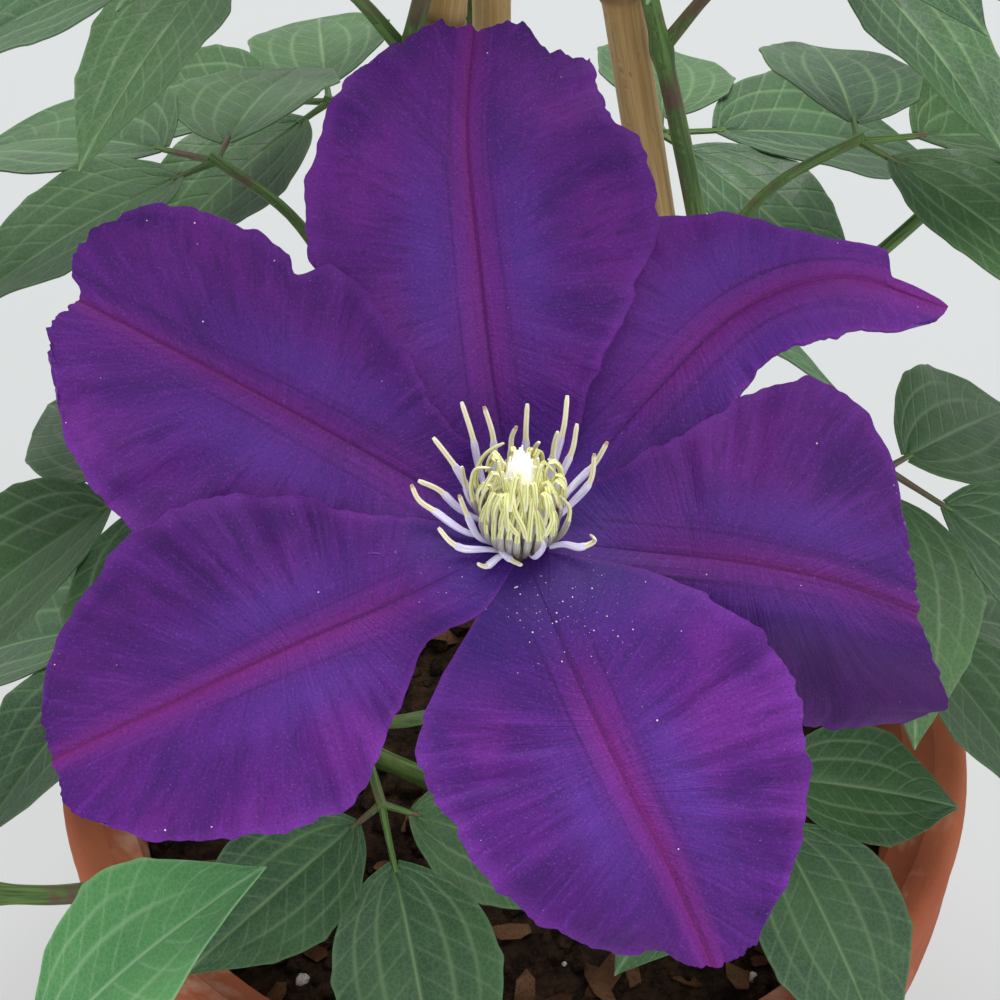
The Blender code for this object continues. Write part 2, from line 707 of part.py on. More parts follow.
def make_pot(finish):
    """The pot, turned, with a banded rim and four drain holes in its flat base."""
    rim_foot = POT_HEIGHT - POT_RIM_HEIGHT
    under_rim = POT_RIM_RADIUS - POT_RIM_STEP
    slope = (under_rim - POT_FOOT_RADIUS) / rim_foot
    profile = [
        (0, 0), (POT_FOOT_RADIUS - 2, 0), (POT_FOOT_RADIUS, 2.5),
        (POT_FOOT_RADIUS + slope * (rim_foot - 4), rim_foot - 4),
        (POT_RIM_RADIUS - 4, rim_foot), (POT_RIM_RADIUS - 1.5, rim_foot + 4),
        (POT_RIM_RADIUS, POT_HEIGHT - 5), (POT_RIM_RADIUS - 3, POT_HEIGHT),
        (POT_RIM_RADIUS - POT_WALL, POT_HEIGHT), (pot_inside(POT_HEIGHT - 3), POT_HEIGHT - 3),
        (pot_inside(POT_FLOOR + 4), POT_FLOOR + 4), (pot_inside(POT_FLOOR) - 4, POT_FLOOR), (0, POT_FLOOR),
    ]
    pot = turned(profile, POT_SIDES)
    pot.name = "pot"
    pot.data.materials.append(finish)
    drains = []
    for k in range(DRAIN_COUNT):
        turn = 360 * (k + 0.5) / DRAIN_COUNT
        drain = turned([(0, -2), (DRAIN_RADIUS, -2), (DRAIN_RADIUS, POT_FLOOR + 2), (0, POT_FLOOR + 2)], 12)
        drains.append(place(drain, DRAIN_OFFSET * toward(turn, 0), np.eye(3)))
    cut(pot, drains)


def pot_inside(height):
    """Radius of the pot's inside at a height."""
    foot = POT_FOOT_RADIUS - POT_WALL
    return foot + (POT_RIM_RADIUS - POT_WALL - 5 - foot) * height / POT_HEIGHT


def make_soil(finish, holes):
    """The soil, which fills the pot to below its rim, crumbly on top, with a hole for each stem and cane."""
    rings = (0.25, 0.5, 0.75, 0.92)
    points = [(0, 0, SOIL_TOP + SOIL_MOUND)]
    for ring, share in enumerate(rings):
        r = (pot_inside(SOIL_TOP) - GAP) * share
        for k in range(POT_SIDES):
            turn = 2 * math.pi * k / POT_SIDES
            crumb = SOIL_CRUMB * math.sin(7 * turn + 2 * ring) * math.sin(3 * turn + ring)
            height = SOIL_TOP + SOIL_MOUND * (1 - share**2) + crumb
            points.append((r * math.cos(turn), r * math.sin(turn), height))
    for radius, height in (
        (pot_inside(SOIL_TOP), SOIL_TOP - 1), (pot_inside(POT_FLOOR + 4), POT_FLOOR + 4 + GAP),
        (pot_inside(POT_FLOOR) - 4, POT_FLOOR + GAP),
    ):
        for k in range(POT_SIDES):
            turn = 2 * math.pi * k / POT_SIDES
            points.append(((radius - GAP) * math.cos(turn), (radius - GAP) * math.sin(turn), height))
    points.append((0, 0, POT_FLOOR + GAP))
    faces = []
    loops = len(rings) + 3
    for k in range(POT_SIDES):
        after = (k + 1) % POT_SIDES
        faces.append((0, 1 + k, 1 + after))
        for i in range(loops - 1):
            low = 1 + i * POT_SIDES
            faces.append((low + k, low + POT_SIDES + k, low + POT_SIDES + after, low + after))
        last = 1 + (loops - 1) * POT_SIDES
        faces.append((last + k, len(points) - 1, last + after))
    soil = add_mesh("soil", points, faces, finish)
    face_outwards(soil)
    cutters = []
    for foot, radius, axis in holes:
        cutter = turned([(0, -GAP), (radius, -GAP), (radius, HOLE_DEPTH), (0, HOLE_DEPTH)], HOLE_SIDES)
        out = unit(axis)
        right = unit(np.cross((0, 1, 0), out))
        cutters.append(place(cutter, foot, [right, np.cross(out, right), out]))
    cut(soil, cutters)


# Each twining stem: its cane's angle, where it leaves the soil, the heights between which it twines, the side of
# the cane that it starts on, and the way it turns.
TWINING = {
    "stem_left": {"angle": 210, "crown": (-14, -12), "begin": 204, "end": 410, "turn": 130, "ways": 1},
    "stem_right": {"angle": 330, "crown": (15, -10), "begin": 204, "end": 398, "turn": 50, "ways": -1},
    "stem_back": {"angle": 90, "crown": (2, 17), "begin": 204, "end": 414, "turn": 40, "ways": 1},
}
# The front stem stands free, and leans out over the pot's edge.
FRONT_ROUTE = [
    (-38, -32, STEM_FOOT), (-38, -32, SOIL_TOP - 4), (-38, -32, SOIL_TOP + 8), (-60, -52, 182),
    (-90, -76, 206), (-114, -88, 230), (-128, -84, 252),
]

# The leaves of each stem: the height that each grows at, its stalk's azimuth, elevation and length, the end
# leaflet's length and pitch, how many leaflets it has, and how far they turn from the stalk's azimuth.
LEAVES = {
    "stem_left": [
        (196, 160, 20, 36, 60, -22), (182, 284, 26, 34, 52, -22),
        (256, 195, 26, 32, 56, -24), (304, 142, 28, 36, 58, -12),
        (356, 172, 34, 34, 48, -16), (404, 226, 40, 28, 44, -10),
    ],
    "stem_right": [
        (196, 16, 20, 36, 60, -22), (176, 300, 30, 34, 50, -20),
        (250, 342, 26, 32, 56, -24), (306, 28, 28, 36, 58, -12),
        (352, 12, 34, 34, 50, -16), (392, 318, 40, 28, 44, -10),
    ],
    "stem_back": [
        (208, 56, 20, 40, 60, -24), (208, 122, 20, 40, 60, -24),
        (266, 22, 26, 40, 56, -10), (276, 160, 26, 40, 56, -10),
        (345, 86, 30, 36, 54, -20), (408, 130, 38, 30, 48, -10),
    ],
    "stem_front": [(213, 280, -2, 46, 58, 60, 1, 91)],
}

# What each flower stalk grows from: its stem, the height that it leaves the stem at, and how long it runs
# straight below its bloom or bud.
STALKS = {
    "bloom_front": ("stem_left", 190, 26),
    "bloom_left": ("stem_front", 252, 12),
    "bloom_right": ("stem_right", 280, 22),
    "bloom_top": ("stem_back", 414, 14),
    "bud_left": ("stem_front", 236, 10),
    "bud_right": ("stem_right", 372, 14),
    "bud_back": ("stem_back", 325, 12),
}


def clear_scene():
    """Removes what the scene holds."""
    for obj in list(bpy.data.objects):
        bpy.data.objects.remove(obj)


def finishes():
    """The object's materials by name."""
    return {
        "pot": material("terracotta", (0.46, 0.17, 0.09), 0.85),
        "soil": material("soil", (0.035, 0.022, 0.015), 0.95),
        "cane": material("bamboo", (0.42, 0.28, 0.12), 0.55),
        "twine": material("twine", (0.36, 0.25, 0.13), 0.9),
        "leaf": material("leaf", (0.06, 0.2, 0.06), 0.5),
        "bud": material("bud", (0.12, 0.16, 0.12), 0.55),
        "tepal": material("tepal", (0.08, 0.012, 0.2), 0.55),
        "stamen": material("stamen", (0.75, 0.74, 0.42), 0.6),
    }


def make_blooms(looks):
    """Makes the blooms and buds, and gives where each one's stalk ends and the direction it arrives in."""
    axes = bloom_axes(270, VIEW_ELEVATION)
    make_bloom("bloom_front", HERO_CENTRE, axes, HERO_LEAN, HERO_TEPALS.values(), HERO_GRID,
               HERO_STAMEN_TIPS, INNER_STAMENS, looks)
    arrivals = {"bloom_front": stalk_end(HERO_CENTRE, axes, HERO_LEAN)}
    for name, bloom in BLOOMS.items():
        axes = bloom_axes(*bloom["facing"])
        make_bloom(name, bloom["centre"], axes, 0, plain_tepals(bloom), PLAIN_GRID,
                   plain_tips(bloom["size"]), PLAIN_INNER_STAMENS, looks)
        arrivals[name] = stalk_end(bloom["centre"], axes, 0)
    for name, bud in BUDS.items():
        arrivals[name] = make_bud(name, bud, looks["bud"])
    return arrivals


def make_stem(name, route, arrivals, finish):
    """A leafy stem: the stem with its leaves and the stalks of its blooms and buds, grown as one body."""
    pieces = [tube(route, (STEM_RADIUS, STEM_RADIUS, STEM_TIP_RADIUS), 5, round(1.6 * len(route)))]
    for held, (stem, height, bow) in STALKS.items():
        if stem == name:
            pieces.append(stalk(level(route, height), *arrivals[held], bow))
    for height, *leaf in LEAVES[name]:
        pieces += make_leaf(level(route, height), *leaf)
    fuse(name, pieces, finish)


def main():
    clear_scene()
    looks = finishes()
    arrivals = make_blooms(looks)
    routes = {name: twining_route(**stem) for name, stem in TWINING.items()}
    routes["stem_front"] = [np.array(p, float) for p in FRONT_ROUTE]
    for name, route in routes.items():
        make_stem(name, route, arrivals, looks["leaf"])
    for name in CANE_ANGLES:
        make_cane(name, looks["cane"])
    make_tie(looks["twine"])
    make_pot(looks["pot"])
    holes = [(route[0], STEM_RADIUS + STEM_HOLE_ROOM, (0, 0, 1)) for route in routes.values()]
    for angle in CANE_ANGLES.values():
        foot = cane_point(angle, CANE_FOOT)
        holes.append((foot, CANE_RADIUS + CANE_HOLE_ROOM, cane_point(angle, CANE_TOP) - foot))
    make_soil(looks["soil"], holes)


if __name__ == "__main__":
    main()
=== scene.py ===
import math
import random

import bpy
import numpy as np
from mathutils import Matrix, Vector


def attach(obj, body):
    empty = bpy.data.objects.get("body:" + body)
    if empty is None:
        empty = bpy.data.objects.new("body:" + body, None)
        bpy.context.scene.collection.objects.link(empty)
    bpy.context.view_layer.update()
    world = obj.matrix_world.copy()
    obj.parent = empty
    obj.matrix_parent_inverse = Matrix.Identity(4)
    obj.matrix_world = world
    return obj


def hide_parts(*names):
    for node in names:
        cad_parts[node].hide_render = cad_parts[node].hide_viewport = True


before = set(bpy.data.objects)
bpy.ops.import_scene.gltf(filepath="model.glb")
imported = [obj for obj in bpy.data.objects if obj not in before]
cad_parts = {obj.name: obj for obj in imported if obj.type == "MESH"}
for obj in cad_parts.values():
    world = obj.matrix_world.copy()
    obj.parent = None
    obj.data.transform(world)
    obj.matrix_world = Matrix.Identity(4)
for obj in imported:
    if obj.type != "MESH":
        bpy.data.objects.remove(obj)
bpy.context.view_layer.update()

# The set: a pale floor under an even, pale sky, with one wide soft lamp high above and behind the plant, as
# on an overcast noon, and a faint one in front on the right. The camera looks into the large bloom from 45
# degrees above. Measures are in millimetres, apart from those of the floor and the lamps.
MM = 0.001
VIEW_CENTRE = (-3.1, -87.6, 322.4)
VIEW_ELEVATION = 45
VIEW_DISTANCE = 430.6
LENS = 100
NEAREST_SEEN = 10
FLOOR_SIZE = 60
FLOOR_PAINT = {"Base Color": (0.39, 0.4, 0.395, 1), "Roughness": 0.95, "Specular IOR Level": 0}
SKY_LIGHT = {"Color": (0.9, 0.94, 1, 1), "Strength": 0.86}
LAMPS = {
    "lamp_above": {"from": (0.12, 0.36, 1), "strength": 3.6, "angle": 38, "colour": (1, 0.985, 0.96)},
    "lamp_front": {"from": (0.7, -0.8, 0.6), "strength": 0.6, "angle": 60, "colour": (0.95, 0.97, 1)},
}


def select(*pieces):
    """Selects these pieces and nothing else, with the first of them active."""
    bpy.ops.object.select_all(action="DESELECT")
    for piece in pieces:
        piece.select_set(True)
    bpy.context.view_layer.objects.active = pieces[0] if pieces else None


select()
bpy.ops.mesh.primitive_plane_add(size=FLOOR_SIZE)
floor = bpy.context.object
floor.name = "floor"
floor_paint = bpy.data.materials.new("floor_paint")
sky = bpy.data.worlds.new("sky")
for made, shader, values in ((floor_paint, "Principled BSDF", FLOOR_PAINT), (sky, "Background", SKY_LIGHT)):
    made.use_nodes = True
    for key, value in values.items():
        made.node_tree.nodes[shader].inputs[key].default_value = value
floor.data.materials.append(floor_paint)
bpy.context.scene.world = sky
bpy.context.scene.view_settings.view_transform = "Standard"

for name, lamp in LAMPS.items():
    bpy.ops.object.light_add(type="SUN", location=Vector(lamp["from"]))
    light = bpy.context.object
    light.name = name
    light.data.energy = lamp["strength"]
    light.data.angle = math.radians(lamp["angle"])
    light.data.color = lamp["colour"]
    light.rotation_euler = Vector(lamp["from"]).to_track_quat("Z", "Y").to_euler()

rise = math.radians(VIEW_ELEVATION)
eye = Vector(VIEW_CENTRE) + VIEW_DISTANCE * Vector((0, -math.cos(rise), math.sin(rise)))
bpy.ops.object.camera_add(location=eye * MM)
camera = bpy.context.object
camera.name = "camera"
camera.data.lens = LENS
camera.data.clip_start = NEAREST_SEEN * MM
camera.rotation_euler = (math.radians(90 - VIEW_ELEVATION), 0, 0)
bpy.context.scene.camera = camera

# The tepals of the large bloom: six thin, soft blades like violet velvet, three inner ones over three outer
# ones, each with a grooved bar down its middle and pleats that fan out to a crimped margin. They grow from
# the green hub at the end of the stalk.
HERO_CENTRE = np.array((0.0, -92, 318))
HERO_LEAN = 38
WIDTH_STATIONS = (0, 0.1, 0.25, 0.4, 0.55, 0.7, 0.85, 0.95, 1)
TIP_STATIONS = (-1, -0.7, -0.35, 0, 0.35, 0.7, 1)
LIFT_STATIONS = (0, 0.3, 0.65, 1)
TIP_POWER = 7
MIDRIB_STEP = 0.02
BOWL_RADIUS = 17
DROOP = 0.0011
GROOVE = 0.6
GROOVE_HALF = 0.14
SEEN_FROM = 430
TEPAL_THICKNESS = 0.5
TEPAL_CELLS = (130, 90)
FAN_START = 0.46
FAN_BACK = 0.2
PLEATS = ((15, 0.5), (23, 0.42), (34, 0.34), (52, 0.2), (71, 0.1))
PLEAT_HEIGHT = 0.62
PLEATS_ASIDE = (3, 14)
PLEATS_ALONG = (8, 26)
CRIMPS = ((11, 0.5), (17, 0.45), (29, 0.32), (43, 0.2), (67, 0.14))
CRIMP_DEPTH = 0.55
TIP_CRIMP = 1.2
CRIMPED_WIDTH = 12
LAYERED_FROM = 0.2
FOLD_ACROSS = (0.26, 0.68)
FOLD_ALONG = (0.4, 0.75)
# The stretch of a tepal's length over which painted shade darkens its foot, under the stamens.
PAINTED_FOOT_SHADE = (0.3, 0.06)
SMOOTH_ANGLE = 50
MERGE_WITHIN = 0.002
# Of each tepal: its midrib as seen from in front, its width to the left and the right of that at the width
# stations, how far its end runs on at the tip stations, how its two sides and its whole length lift, steps
# in its margin (side, begin, end, depth), its ruffle (height, waves, phase), the layer that it lies in, how
# dark its painted shade makes it, how much more painted shade darkens its foot and one side, how far one side
# folds down (which also darkens the fold with painted shade), and how strong its bar is.
TEPALS = {
    "top": {
        "midrib": [(0, 2), (-4, 23), (-6.5, 43), (-8.3, 63), (-7.2, 79)],
        "left": (3, 8.5, 14.5, 20.5, 26, 24.5, 20, 16.8, 14.6),
        "right": (3, 9, 16, 23.3, 28.5, 27.2, 21.5, 19.5, 18.8),
        "tip": (-6.3, -2.2, 0.6, 0, 1.5, -2.8, -3.2),
        "lift": ((0, 3, 3, -1), (0, 2.5, 2, -3)),
        "rise": (0, -1, -1, -3),
        "ruffle": (1.2, 3.2, 0.4),
        "layer": -0.6,
        "shade": 0.95,
        "bar": 0.75,
    },
    "upper_right": {
        "midrib": [(2, 1), (20.5, 22.5), (35, 36), (50, 40.5), (65.5, 36)],
        "left": (3, 8, 14, 21, 14, 6.8, 5.4, 5.2, 4.8),
        "right": (3, 8, 11.5, 9.3, 8.6, 9.2, 7.6, 6, 4),
        "tip": (-1.6, -0.4, 0.6, 0.8, 0.4, -0.9, -3.4),
        "steps": ((0, 0.84, 0.875, 3.8),),
        "lift": ((0, 1, -1, 0), (0, 3, 8, 4)),
        "rise": (0, -0.5, 0, -6),
        "ruffle": (0.9, 2.6, 2.2),
        "layer": -3.4,
        "shade": 0.96,
        "bar": 0.9,
    },
    "right": {
        "midrib": [(3, 0), (18, -1.5), (33, -3), (48, -6), (61.5, -11)],
        "left": (3, 8.5, 15, 21, 28.4, 28.3, 18.5, 12.3, 10.5),
        "right": (3, 8.5, 15, 21, 24, 23, 22.3, 19.5, 17.2),
        "tip": (-6.3, -3.8, -1.5, 0.3, 5, 9.5, 4.5),
        "lift": ((0, 1, 3, 1), (0, -1, -9, -13)),
        "rise": (0, 0, 1, -4),
        "ruffle": (1.3, 2.4, 4.0),
        "layer": -0.8,
        "dip": 7,
        "shade": 0.76,
        "bar": 0.75,
    },
    "bottom": {
        "midrib": [(1, -3), (9, -21), (16, -36), (23.5, -51), (29.5, -65)],
        "left": (3, 15, 25.5, 29.6, 29.2, 25.2, 18.2, 11.6, 8.3),
        "right": (3, 15, 27.6, 27.6, 26.6, 23.2, 17.8, 12.8, 10),
        "tip": (0, 1.0, 1.5, 1.3, -0.7, -4.8, -5),
        "lift": ((0, 2, 1, 0), (0, 1.5, 0, -3)),
        "rise": (0, 0.5, 1, -5),
        "ruffle": (1.0, 3.4, 1.2),
        "layer": 2.6,
        "deep": 0.4,
        "shade": 1,
        "bar": 1.2,
    },
    "lower_left": {
        "midrib": [(-2, -1), (-18, -9), (-34, -16), (-52, -24.5), (-71, -33.5)],
        "left": (3, 7, 8, 18.2, 26, 24.8, 20.4, 15.2, 10.6),
        "right": (3, 8, 14.5, 21.6, 26.5, 26.5, 20.6, 13.8, 8),
        "tip": (0.6, 2.7, 2.0, 1.5, 1.0, 0.4, -0.2),
        "lift": ((0, -1, 2, 1), (0, 2, 5, 1)),
        "rise": (0, 0, 0.5, -4),
        "ruffle": (1.1, 3.0, 0.0),
        "layer": 2.0,
        "slant": 0.07,
        "shade": 0.89,
        "bar": 1.05,
    },
    "upper_left": {
        "midrib": [(-3, 1), (-17, 9.5), (-33, 18.5), (-51, 28), (-68.5, 37)],
        "left": (3, 8, 14, 21.5, 27, 27.4, 23, 16, 10.8),
        "right": (3, 7.5, 10.6, 16.8, 22.6, 22.6, 22.3, 19.5, 16.5),
        "tip": (-1.2, 1.2, 1.9, 0, 3.6, 2.6, -0.5),
        "lift": ((0, 1, 3, 1), (0, 2.5, 5, 2)),
        "rise": (0, 0, -0.5, -3),
        "steps": ((1, 0.59, 0.65, 3.2), (1, 0.655, 0.68, -2.4)),
        "ruffle": (1.2, 3.3, 3.0),
        "layer": 0.9,
        "shade": 0.88,
        "bar": 0.55,
    },
}


def unit(vector):
    """The vector at length 1."""
    vector = np.asarray(vector, float)
    return vector / np.linalg.norm(vector, axis=-1, keepdims=True)


def toward(azimuth, elevation):
    """Unit vector at an azimuth from +X towards +Y, and an elevation above the horizon."""
    a = math.radians(azimuth)
    e = math.radians(elevation)
    return np.array((math.cos(a) * math.cos(e), math.sin(a) * math.cos(e), math.sin(e)))


def bloom_axes(azimuth, elevation):
    """Right, up and outward axes of something that faces outwards at an azimuth and elevation."""
    out = toward(azimuth, elevation)
    right = unit(np.cross((0, 0, 1), out))
    return np.array([right, np.cross(out, right), out])


def smooth(stations, values, t):
    """Value at t of the smooth curve that passes through the values at the stations."""
    stations = np.asarray(stations, float)
    values = np.asarray(values, float)
    slopes = np.gradient(values, stations, axis=0)
    i = np.clip(np.searchsorted(stations, t, side="right") - 1, 0, len(stations) - 2)
    span = stations[i + 1] - stations[i]
    s = (t - stations[i]) / span
    if values.ndim > 1:
        s = s[..., None]
        span = span[..., None]
    start = (1 + 2 * s) * (1 - s) ** 2 * values[i] + s * (1 - s) ** 2 * span * slopes[i]
    end = s * s * (3 - 2 * s) * values[i + 1] + s * s * (s - 1) * span * slopes[i + 1]
    return start + end


def wander(x, waves, seed, drift=0):
    """An uneven wave: sines of the given rates and heights, at phases from the seed, which drift slowly."""
    draw = random.Random(seed)
    total = 0 * x
    for rate, height in waves:
        phase = draw.uniform(0, 6.28)
        shift = phase + 1.6 * np.sin(drift * draw.uniform(0.06, 0.16) + phase)
        total = total + height * np.sin(rate * x + shift)
    return total


def fade(x, low, high):
    """Goes smoothly from 0 at low to 1 at high."""
    t = np.clip((x - low) / (high - low), 0, 1)
    return t * t * (3 - 2 * t)


def peak(x, spread):
    """1 where x is 0, falling to about a third at the spread."""
    return np.exp(-((x / spread) ** 2))


def tepal_sheet(tepal, lean, u, v, seed):
    """Middle surface of a tepal in its bloom's axes, and the values that its colours follow."""
    stations = np.linspace(0, 1, len(tepal["midrib"]))
    spine = smooth(stations, tepal["midrib"], u)
    after = smooth(stations, tepal["midrib"], np.minimum(u + MIDRIB_STEP, 1))
    before = smooth(stations, tepal["midrib"], np.maximum(u - MIDRIB_STEP, 0))
    ahead = unit(after - before)
    right = np.stack([ahead[..., 1], -ahead[..., 0]], -1)
    side = (v > 0).astype(int)
    edge = np.abs(v)
    width = np.choose(side, [smooth(WIDTH_STATIONS, tepal[k], u) for k in ("left", "right")])
    for which, begin, end, depth in tepal.get("steps", ()):
        width = width - depth * (side == which) * fade(u, begin, end)
    tip = smooth(TIP_STATIONS, tepal["tip"], v)
    broad = np.minimum(width / CRIMPED_WIDTH, 1) ** 2
    crimp = CRIMP_DEPTH * wander(u * 3.1 + 5 * side, CRIMPS, seed) * edge**6 * np.minimum(5 * u, 1) * broad
    blunt = min(tepal["left"][-1] / CRIMPED_WIDTH, tepal["right"][-1] / CRIMPED_WIDTH, 1) ** 2
    tip_crimp = TIP_CRIMP * CRIMP_DEPTH * wander(v * 1.4, CRIMPS, seed + 1) * blunt
    flat = spine + right * (v * width + np.sign(v) * crimp)[..., None]
    flat = flat + ahead * ((tip + tip_crimp) * u**TIP_POWER)[..., None]
    x = flat[..., 0]
    y = flat[..., 1]

    length = np.linalg.norm(np.diff(np.asarray(tepal["midrib"]), axis=0), axis=1).sum()
    far = u * length
    aside = v * width
    behind = np.abs(aside) + FAN_BACK * length
    fan = np.arctan2(behind, far - FAN_START * length) + 9 * side
    reach = np.hypot(behind, far - FAN_START * length)
    out = x * x + y * y
    lift = np.choose(side, [smooth(LIFT_STATIONS, k, u) for k in tepal["lift"]])
    height, waves, phase = tepal["ruffle"]
    fold = fade(v, *FOLD_ACROSS) * fade(u, *FOLD_ALONG)
    z = tepal["layer"] * np.minimum(u / LAYERED_FROM, 1) + smooth(LIFT_STATIONS, tepal["rise"], u)
    z -= math.tan(math.radians(lean)) * y * np.exp(-out / BOWL_RADIUS**2) + DROOP * out
    z += lift * edge**1.6 - GROOVE * peak(v, GROOVE_HALF) * np.sin(math.pi * u)
    z += height * edge**3 * np.sin(2 * math.pi * waves * u + phase + 1.7 * side) * np.sin(math.pi * u**0.8)
    pleat = PLEAT_HEIGHT * wander(fan, PLEATS, seed + 2, reach)
    pleat = pleat * fade(np.abs(aside), *PLEATS_ASIDE) * fade(far, *PLEATS_ALONG)
    z += pleat * (0.55 + 0.45 * edge)
    z -= tepal.get("dip", 0) * fold

    seen = 1 - z / SEEN_FROM
    # Painted shade: how dark each tepal is painted, darker still in its fold, at its foot under the stamens
    # and on one side, where less light falls.
    shade = tepal.get("shade", 0.95) * (1 - 0.02 * tepal.get("dip", 0) * fold)
    shade = shade * (1 - tepal.get("deep", 0.1) * fade(u, *PAINTED_FOOT_SHADE)) * (1 - tepal.get("slant", 0) * v)
    values = {"along": u, "across": v, "far": far, "aside": aside, "shade": shade}
    values.update({"fan": fan + 20 * seed, "reach": reach, "bar": tepal.get("bar", 1) + 0 * u})
    return np.stack([x * seen, y * seen, z], -1), values


def points_of(piece):
    """The points of a piece's mesh, in metres."""
    points = np.empty(3 * len(piece.data.vertices))
    piece.data.vertices.foreach_get("co", points)
    return points.reshape(-1, 3)


def sheet_piece(name, cells, place):
    """A flat grid of cells whose points are moved to their places on the real sheet, in millimetres."""
    select()
    bpy.ops.mesh.primitive_grid_add(x_subdivisions=cells[0], y_subdivisions=cells[1], size=1)
    piece = bpy.context.object
    piece.name = name
    piece.data.name = name
    flat = points_of(piece)
    points, values = place(flat[:, 0] + 0.5, -2 * flat[:, 1])
    piece.data.vertices.foreach_set("co", np.asarray(points * MM, np.float32).ravel())
    for key, value in values.items():
        kept = piece.data.attributes.new(key, "FLOAT", "POINT")
        kept.data.foreach_set("value", np.asarray(value, np.float32).ravel())
    piece.data.update()
    return piece


def close_seams(piece, angle):
    """Merges the points that meet, turns the faces to point out and shades the piece smooth."""
    select(piece)
    bpy.ops.object.mode_set(mode="EDIT")
    bpy.ops.mesh.select_all(action="SELECT")
    bpy.ops.mesh.remove_doubles(threshold=MERGE_WITHIN * MM)
    bpy.ops.mesh.normals_make_consistent(inside=False)
    bpy.ops.object.mode_set(mode="OBJECT")
    bpy.ops.object.shade_smooth_by_angle(angle=math.radians(angle))


def thicken(piece, thickness):
    """Gives a sheet its thickness, half to each side. Its back takes the second of its materials."""
    wall = piece.modifiers.new("wall", "SOLIDIFY")
    wall.thickness = thickness * MM
    wall.offset = 0
    wall.material_offset = 1
    select(piece)
    bpy.ops.object.modifier_apply(modifier=wall.name)
    bpy.ops.object.shade_smooth_by_angle(angle=math.radians(SMOOTH_ANGLE))


def held(piece, slot, node, *materials, wall=0, angle=SMOOTH_ANGLE):
    """Finishes a piece, as a sheet with a wall or with closed seams, and puts it in place of its node."""
    for material in materials:
        piece.data.materials.append(material)
    if wall:
        thicken(piece, wall)
    elif angle:
        close_seams(piece, angle)
    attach(piece, "root")
    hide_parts(node)


def colour(red, green, blue):
    """A colour given as a screen shows it, from 0 to 255."""
    shares = [c / 255 for c in (red, green, blue)]
    return (*[c / 12.92 if c <= 0.04045 else ((c + 0.055) / 1.055) ** 2.4 for c in shares], 1)


class Value:
    """A socket's number in a finish. An expression on it adds its Math nodes."""

    def __init__(self, finish, socket):
        self.finish = finish
        self.socket = socket

    def math(self, operation, *others):
        return self.finish.node("Math", {"operation": operation}, dict(enumerate((self, *others))))

    def __add__(self, other):
        return self.math("ADD", other)

    def __sub__(self, other):
        return self.math("SUBTRACT", other)

    def __mul__(self, other):
        return self.math("MULTIPLY", other)

    def __truediv__(self, other):
        return self.math("DIVIDE", other)

    def __pow__(self, other):
        return self.math("POWER", other)

    def __rsub__(self, other):
        return self * -1 + other

    def __abs__(self):
        return self.math("ABSOLUTE")

    __radd__ = __add__
    __rmul__ = __mul__

    def bell(self, middle, spread):
        """1 where the number is at the middle, falling to about a third at the spread."""
        return (((self - middle) / spread) ** 2 * -1).math("EXPONENT")

    def step(self, low, high):
        """0 below low and 1 above high, or the other way round, with a smooth change between them."""
        settings = {"interpolation_type": "SMOOTHSTEP"}
        return self.finish.node("MapRange", settings, {0: self, 1: low, 2: high}, 0)


class Finish:
    """A material's nodes. Gloss is how strongly it reflects, and fixed holds more numbers of its shader."""

    def __init__(self, name, roughness, gloss=0.5, fixed=()):
        self.material = bpy.data.materials.new(name)
        self.material.use_nodes = True
        self.nodes = self.material.node_tree.nodes
        self.shader = self.nodes["Principled BSDF"]
        for key, value in {"Roughness": roughness, "Specular IOR Level": gloss, **dict(fixed)}.items():
            self.set(key, value)

    def set(self, key, value, node=None):
        """Sets or links one socket of a node, or of the shader."""
        socket = (node or self.shader).inputs[key]
        if isinstance(value, Value):
            self.material.node_tree.links.new(value.socket, socket)
        else:
            socket.default_value = value

    def node(self, kind, settings=(), sockets=(), out=0):
        """Adds a node with its settings, then its sockets' values or links, and gives one of its outputs."""
        made = self.nodes.new("ShaderNode" + kind)
        for key, value in dict(settings).items():
            setattr(made, key, value)
        for key, value in dict(sockets).items():
            self.set(key, value, made)
        return Value(self, made.outputs[out])

    def carried(self, keys):
        """The numbers of these names that the mesh carries."""
        return [self.node("Attribute", {"attribute_name": key}, (), "Fac") for key in keys.split()]

    def point(self, *numbers):
        """A point made of up to three numbers."""
        return self.node("CombineXYZ", (), dict(enumerate(numbers)))

    def here(self):
        """The point on the piece that is being coloured, in metres."""
        return self.node("TexCoord", (), (), "Object")

    def noise(self, where, scale=1, detail=2, roughness=0.5, distortion=0):
        """Soft noise from 0 to 1, at a point or at up to three numbers."""
        where = where if isinstance(where, Value) else self.point(*where)
        sockets = {"Vector": where, "Scale": scale, "Detail": detail}
        sockets.update({"Roughness": roughness, "Distortion": distortion})
        return self.node("TexNoise", (), sockets, "Fac")

    def mix(self, share, low, high):
        """A colour that goes from low to high with the share. Each of the two is a node's or a screen's."""
        low, high = (c if isinstance(c, Value) else colour(*c) for c in (low, high))
        return self.node("Mix", {"data_type": "RGBA"}, {0: share, 6: low, 7: high}, 2)

    def paint(self, base, *coats):
        """Sets the colour: a base from a share and two colours, then coats, each a share and a colour."""
        tone = self.mix(*base)
        for share, coat in coats:
            tone = self.mix(share, tone, coat)
        self.set("Base Color", tone)
        return tone

    def relief(self, height, strength, depth):
        """Raises the surface by a height, to a depth in millimetres, and gives the finished material."""
        sockets = {"Height": height, "Strength": strength, "Distance": depth * MM}
        self.set("Normal", self.node("Bump", (), sockets))
        return self.material


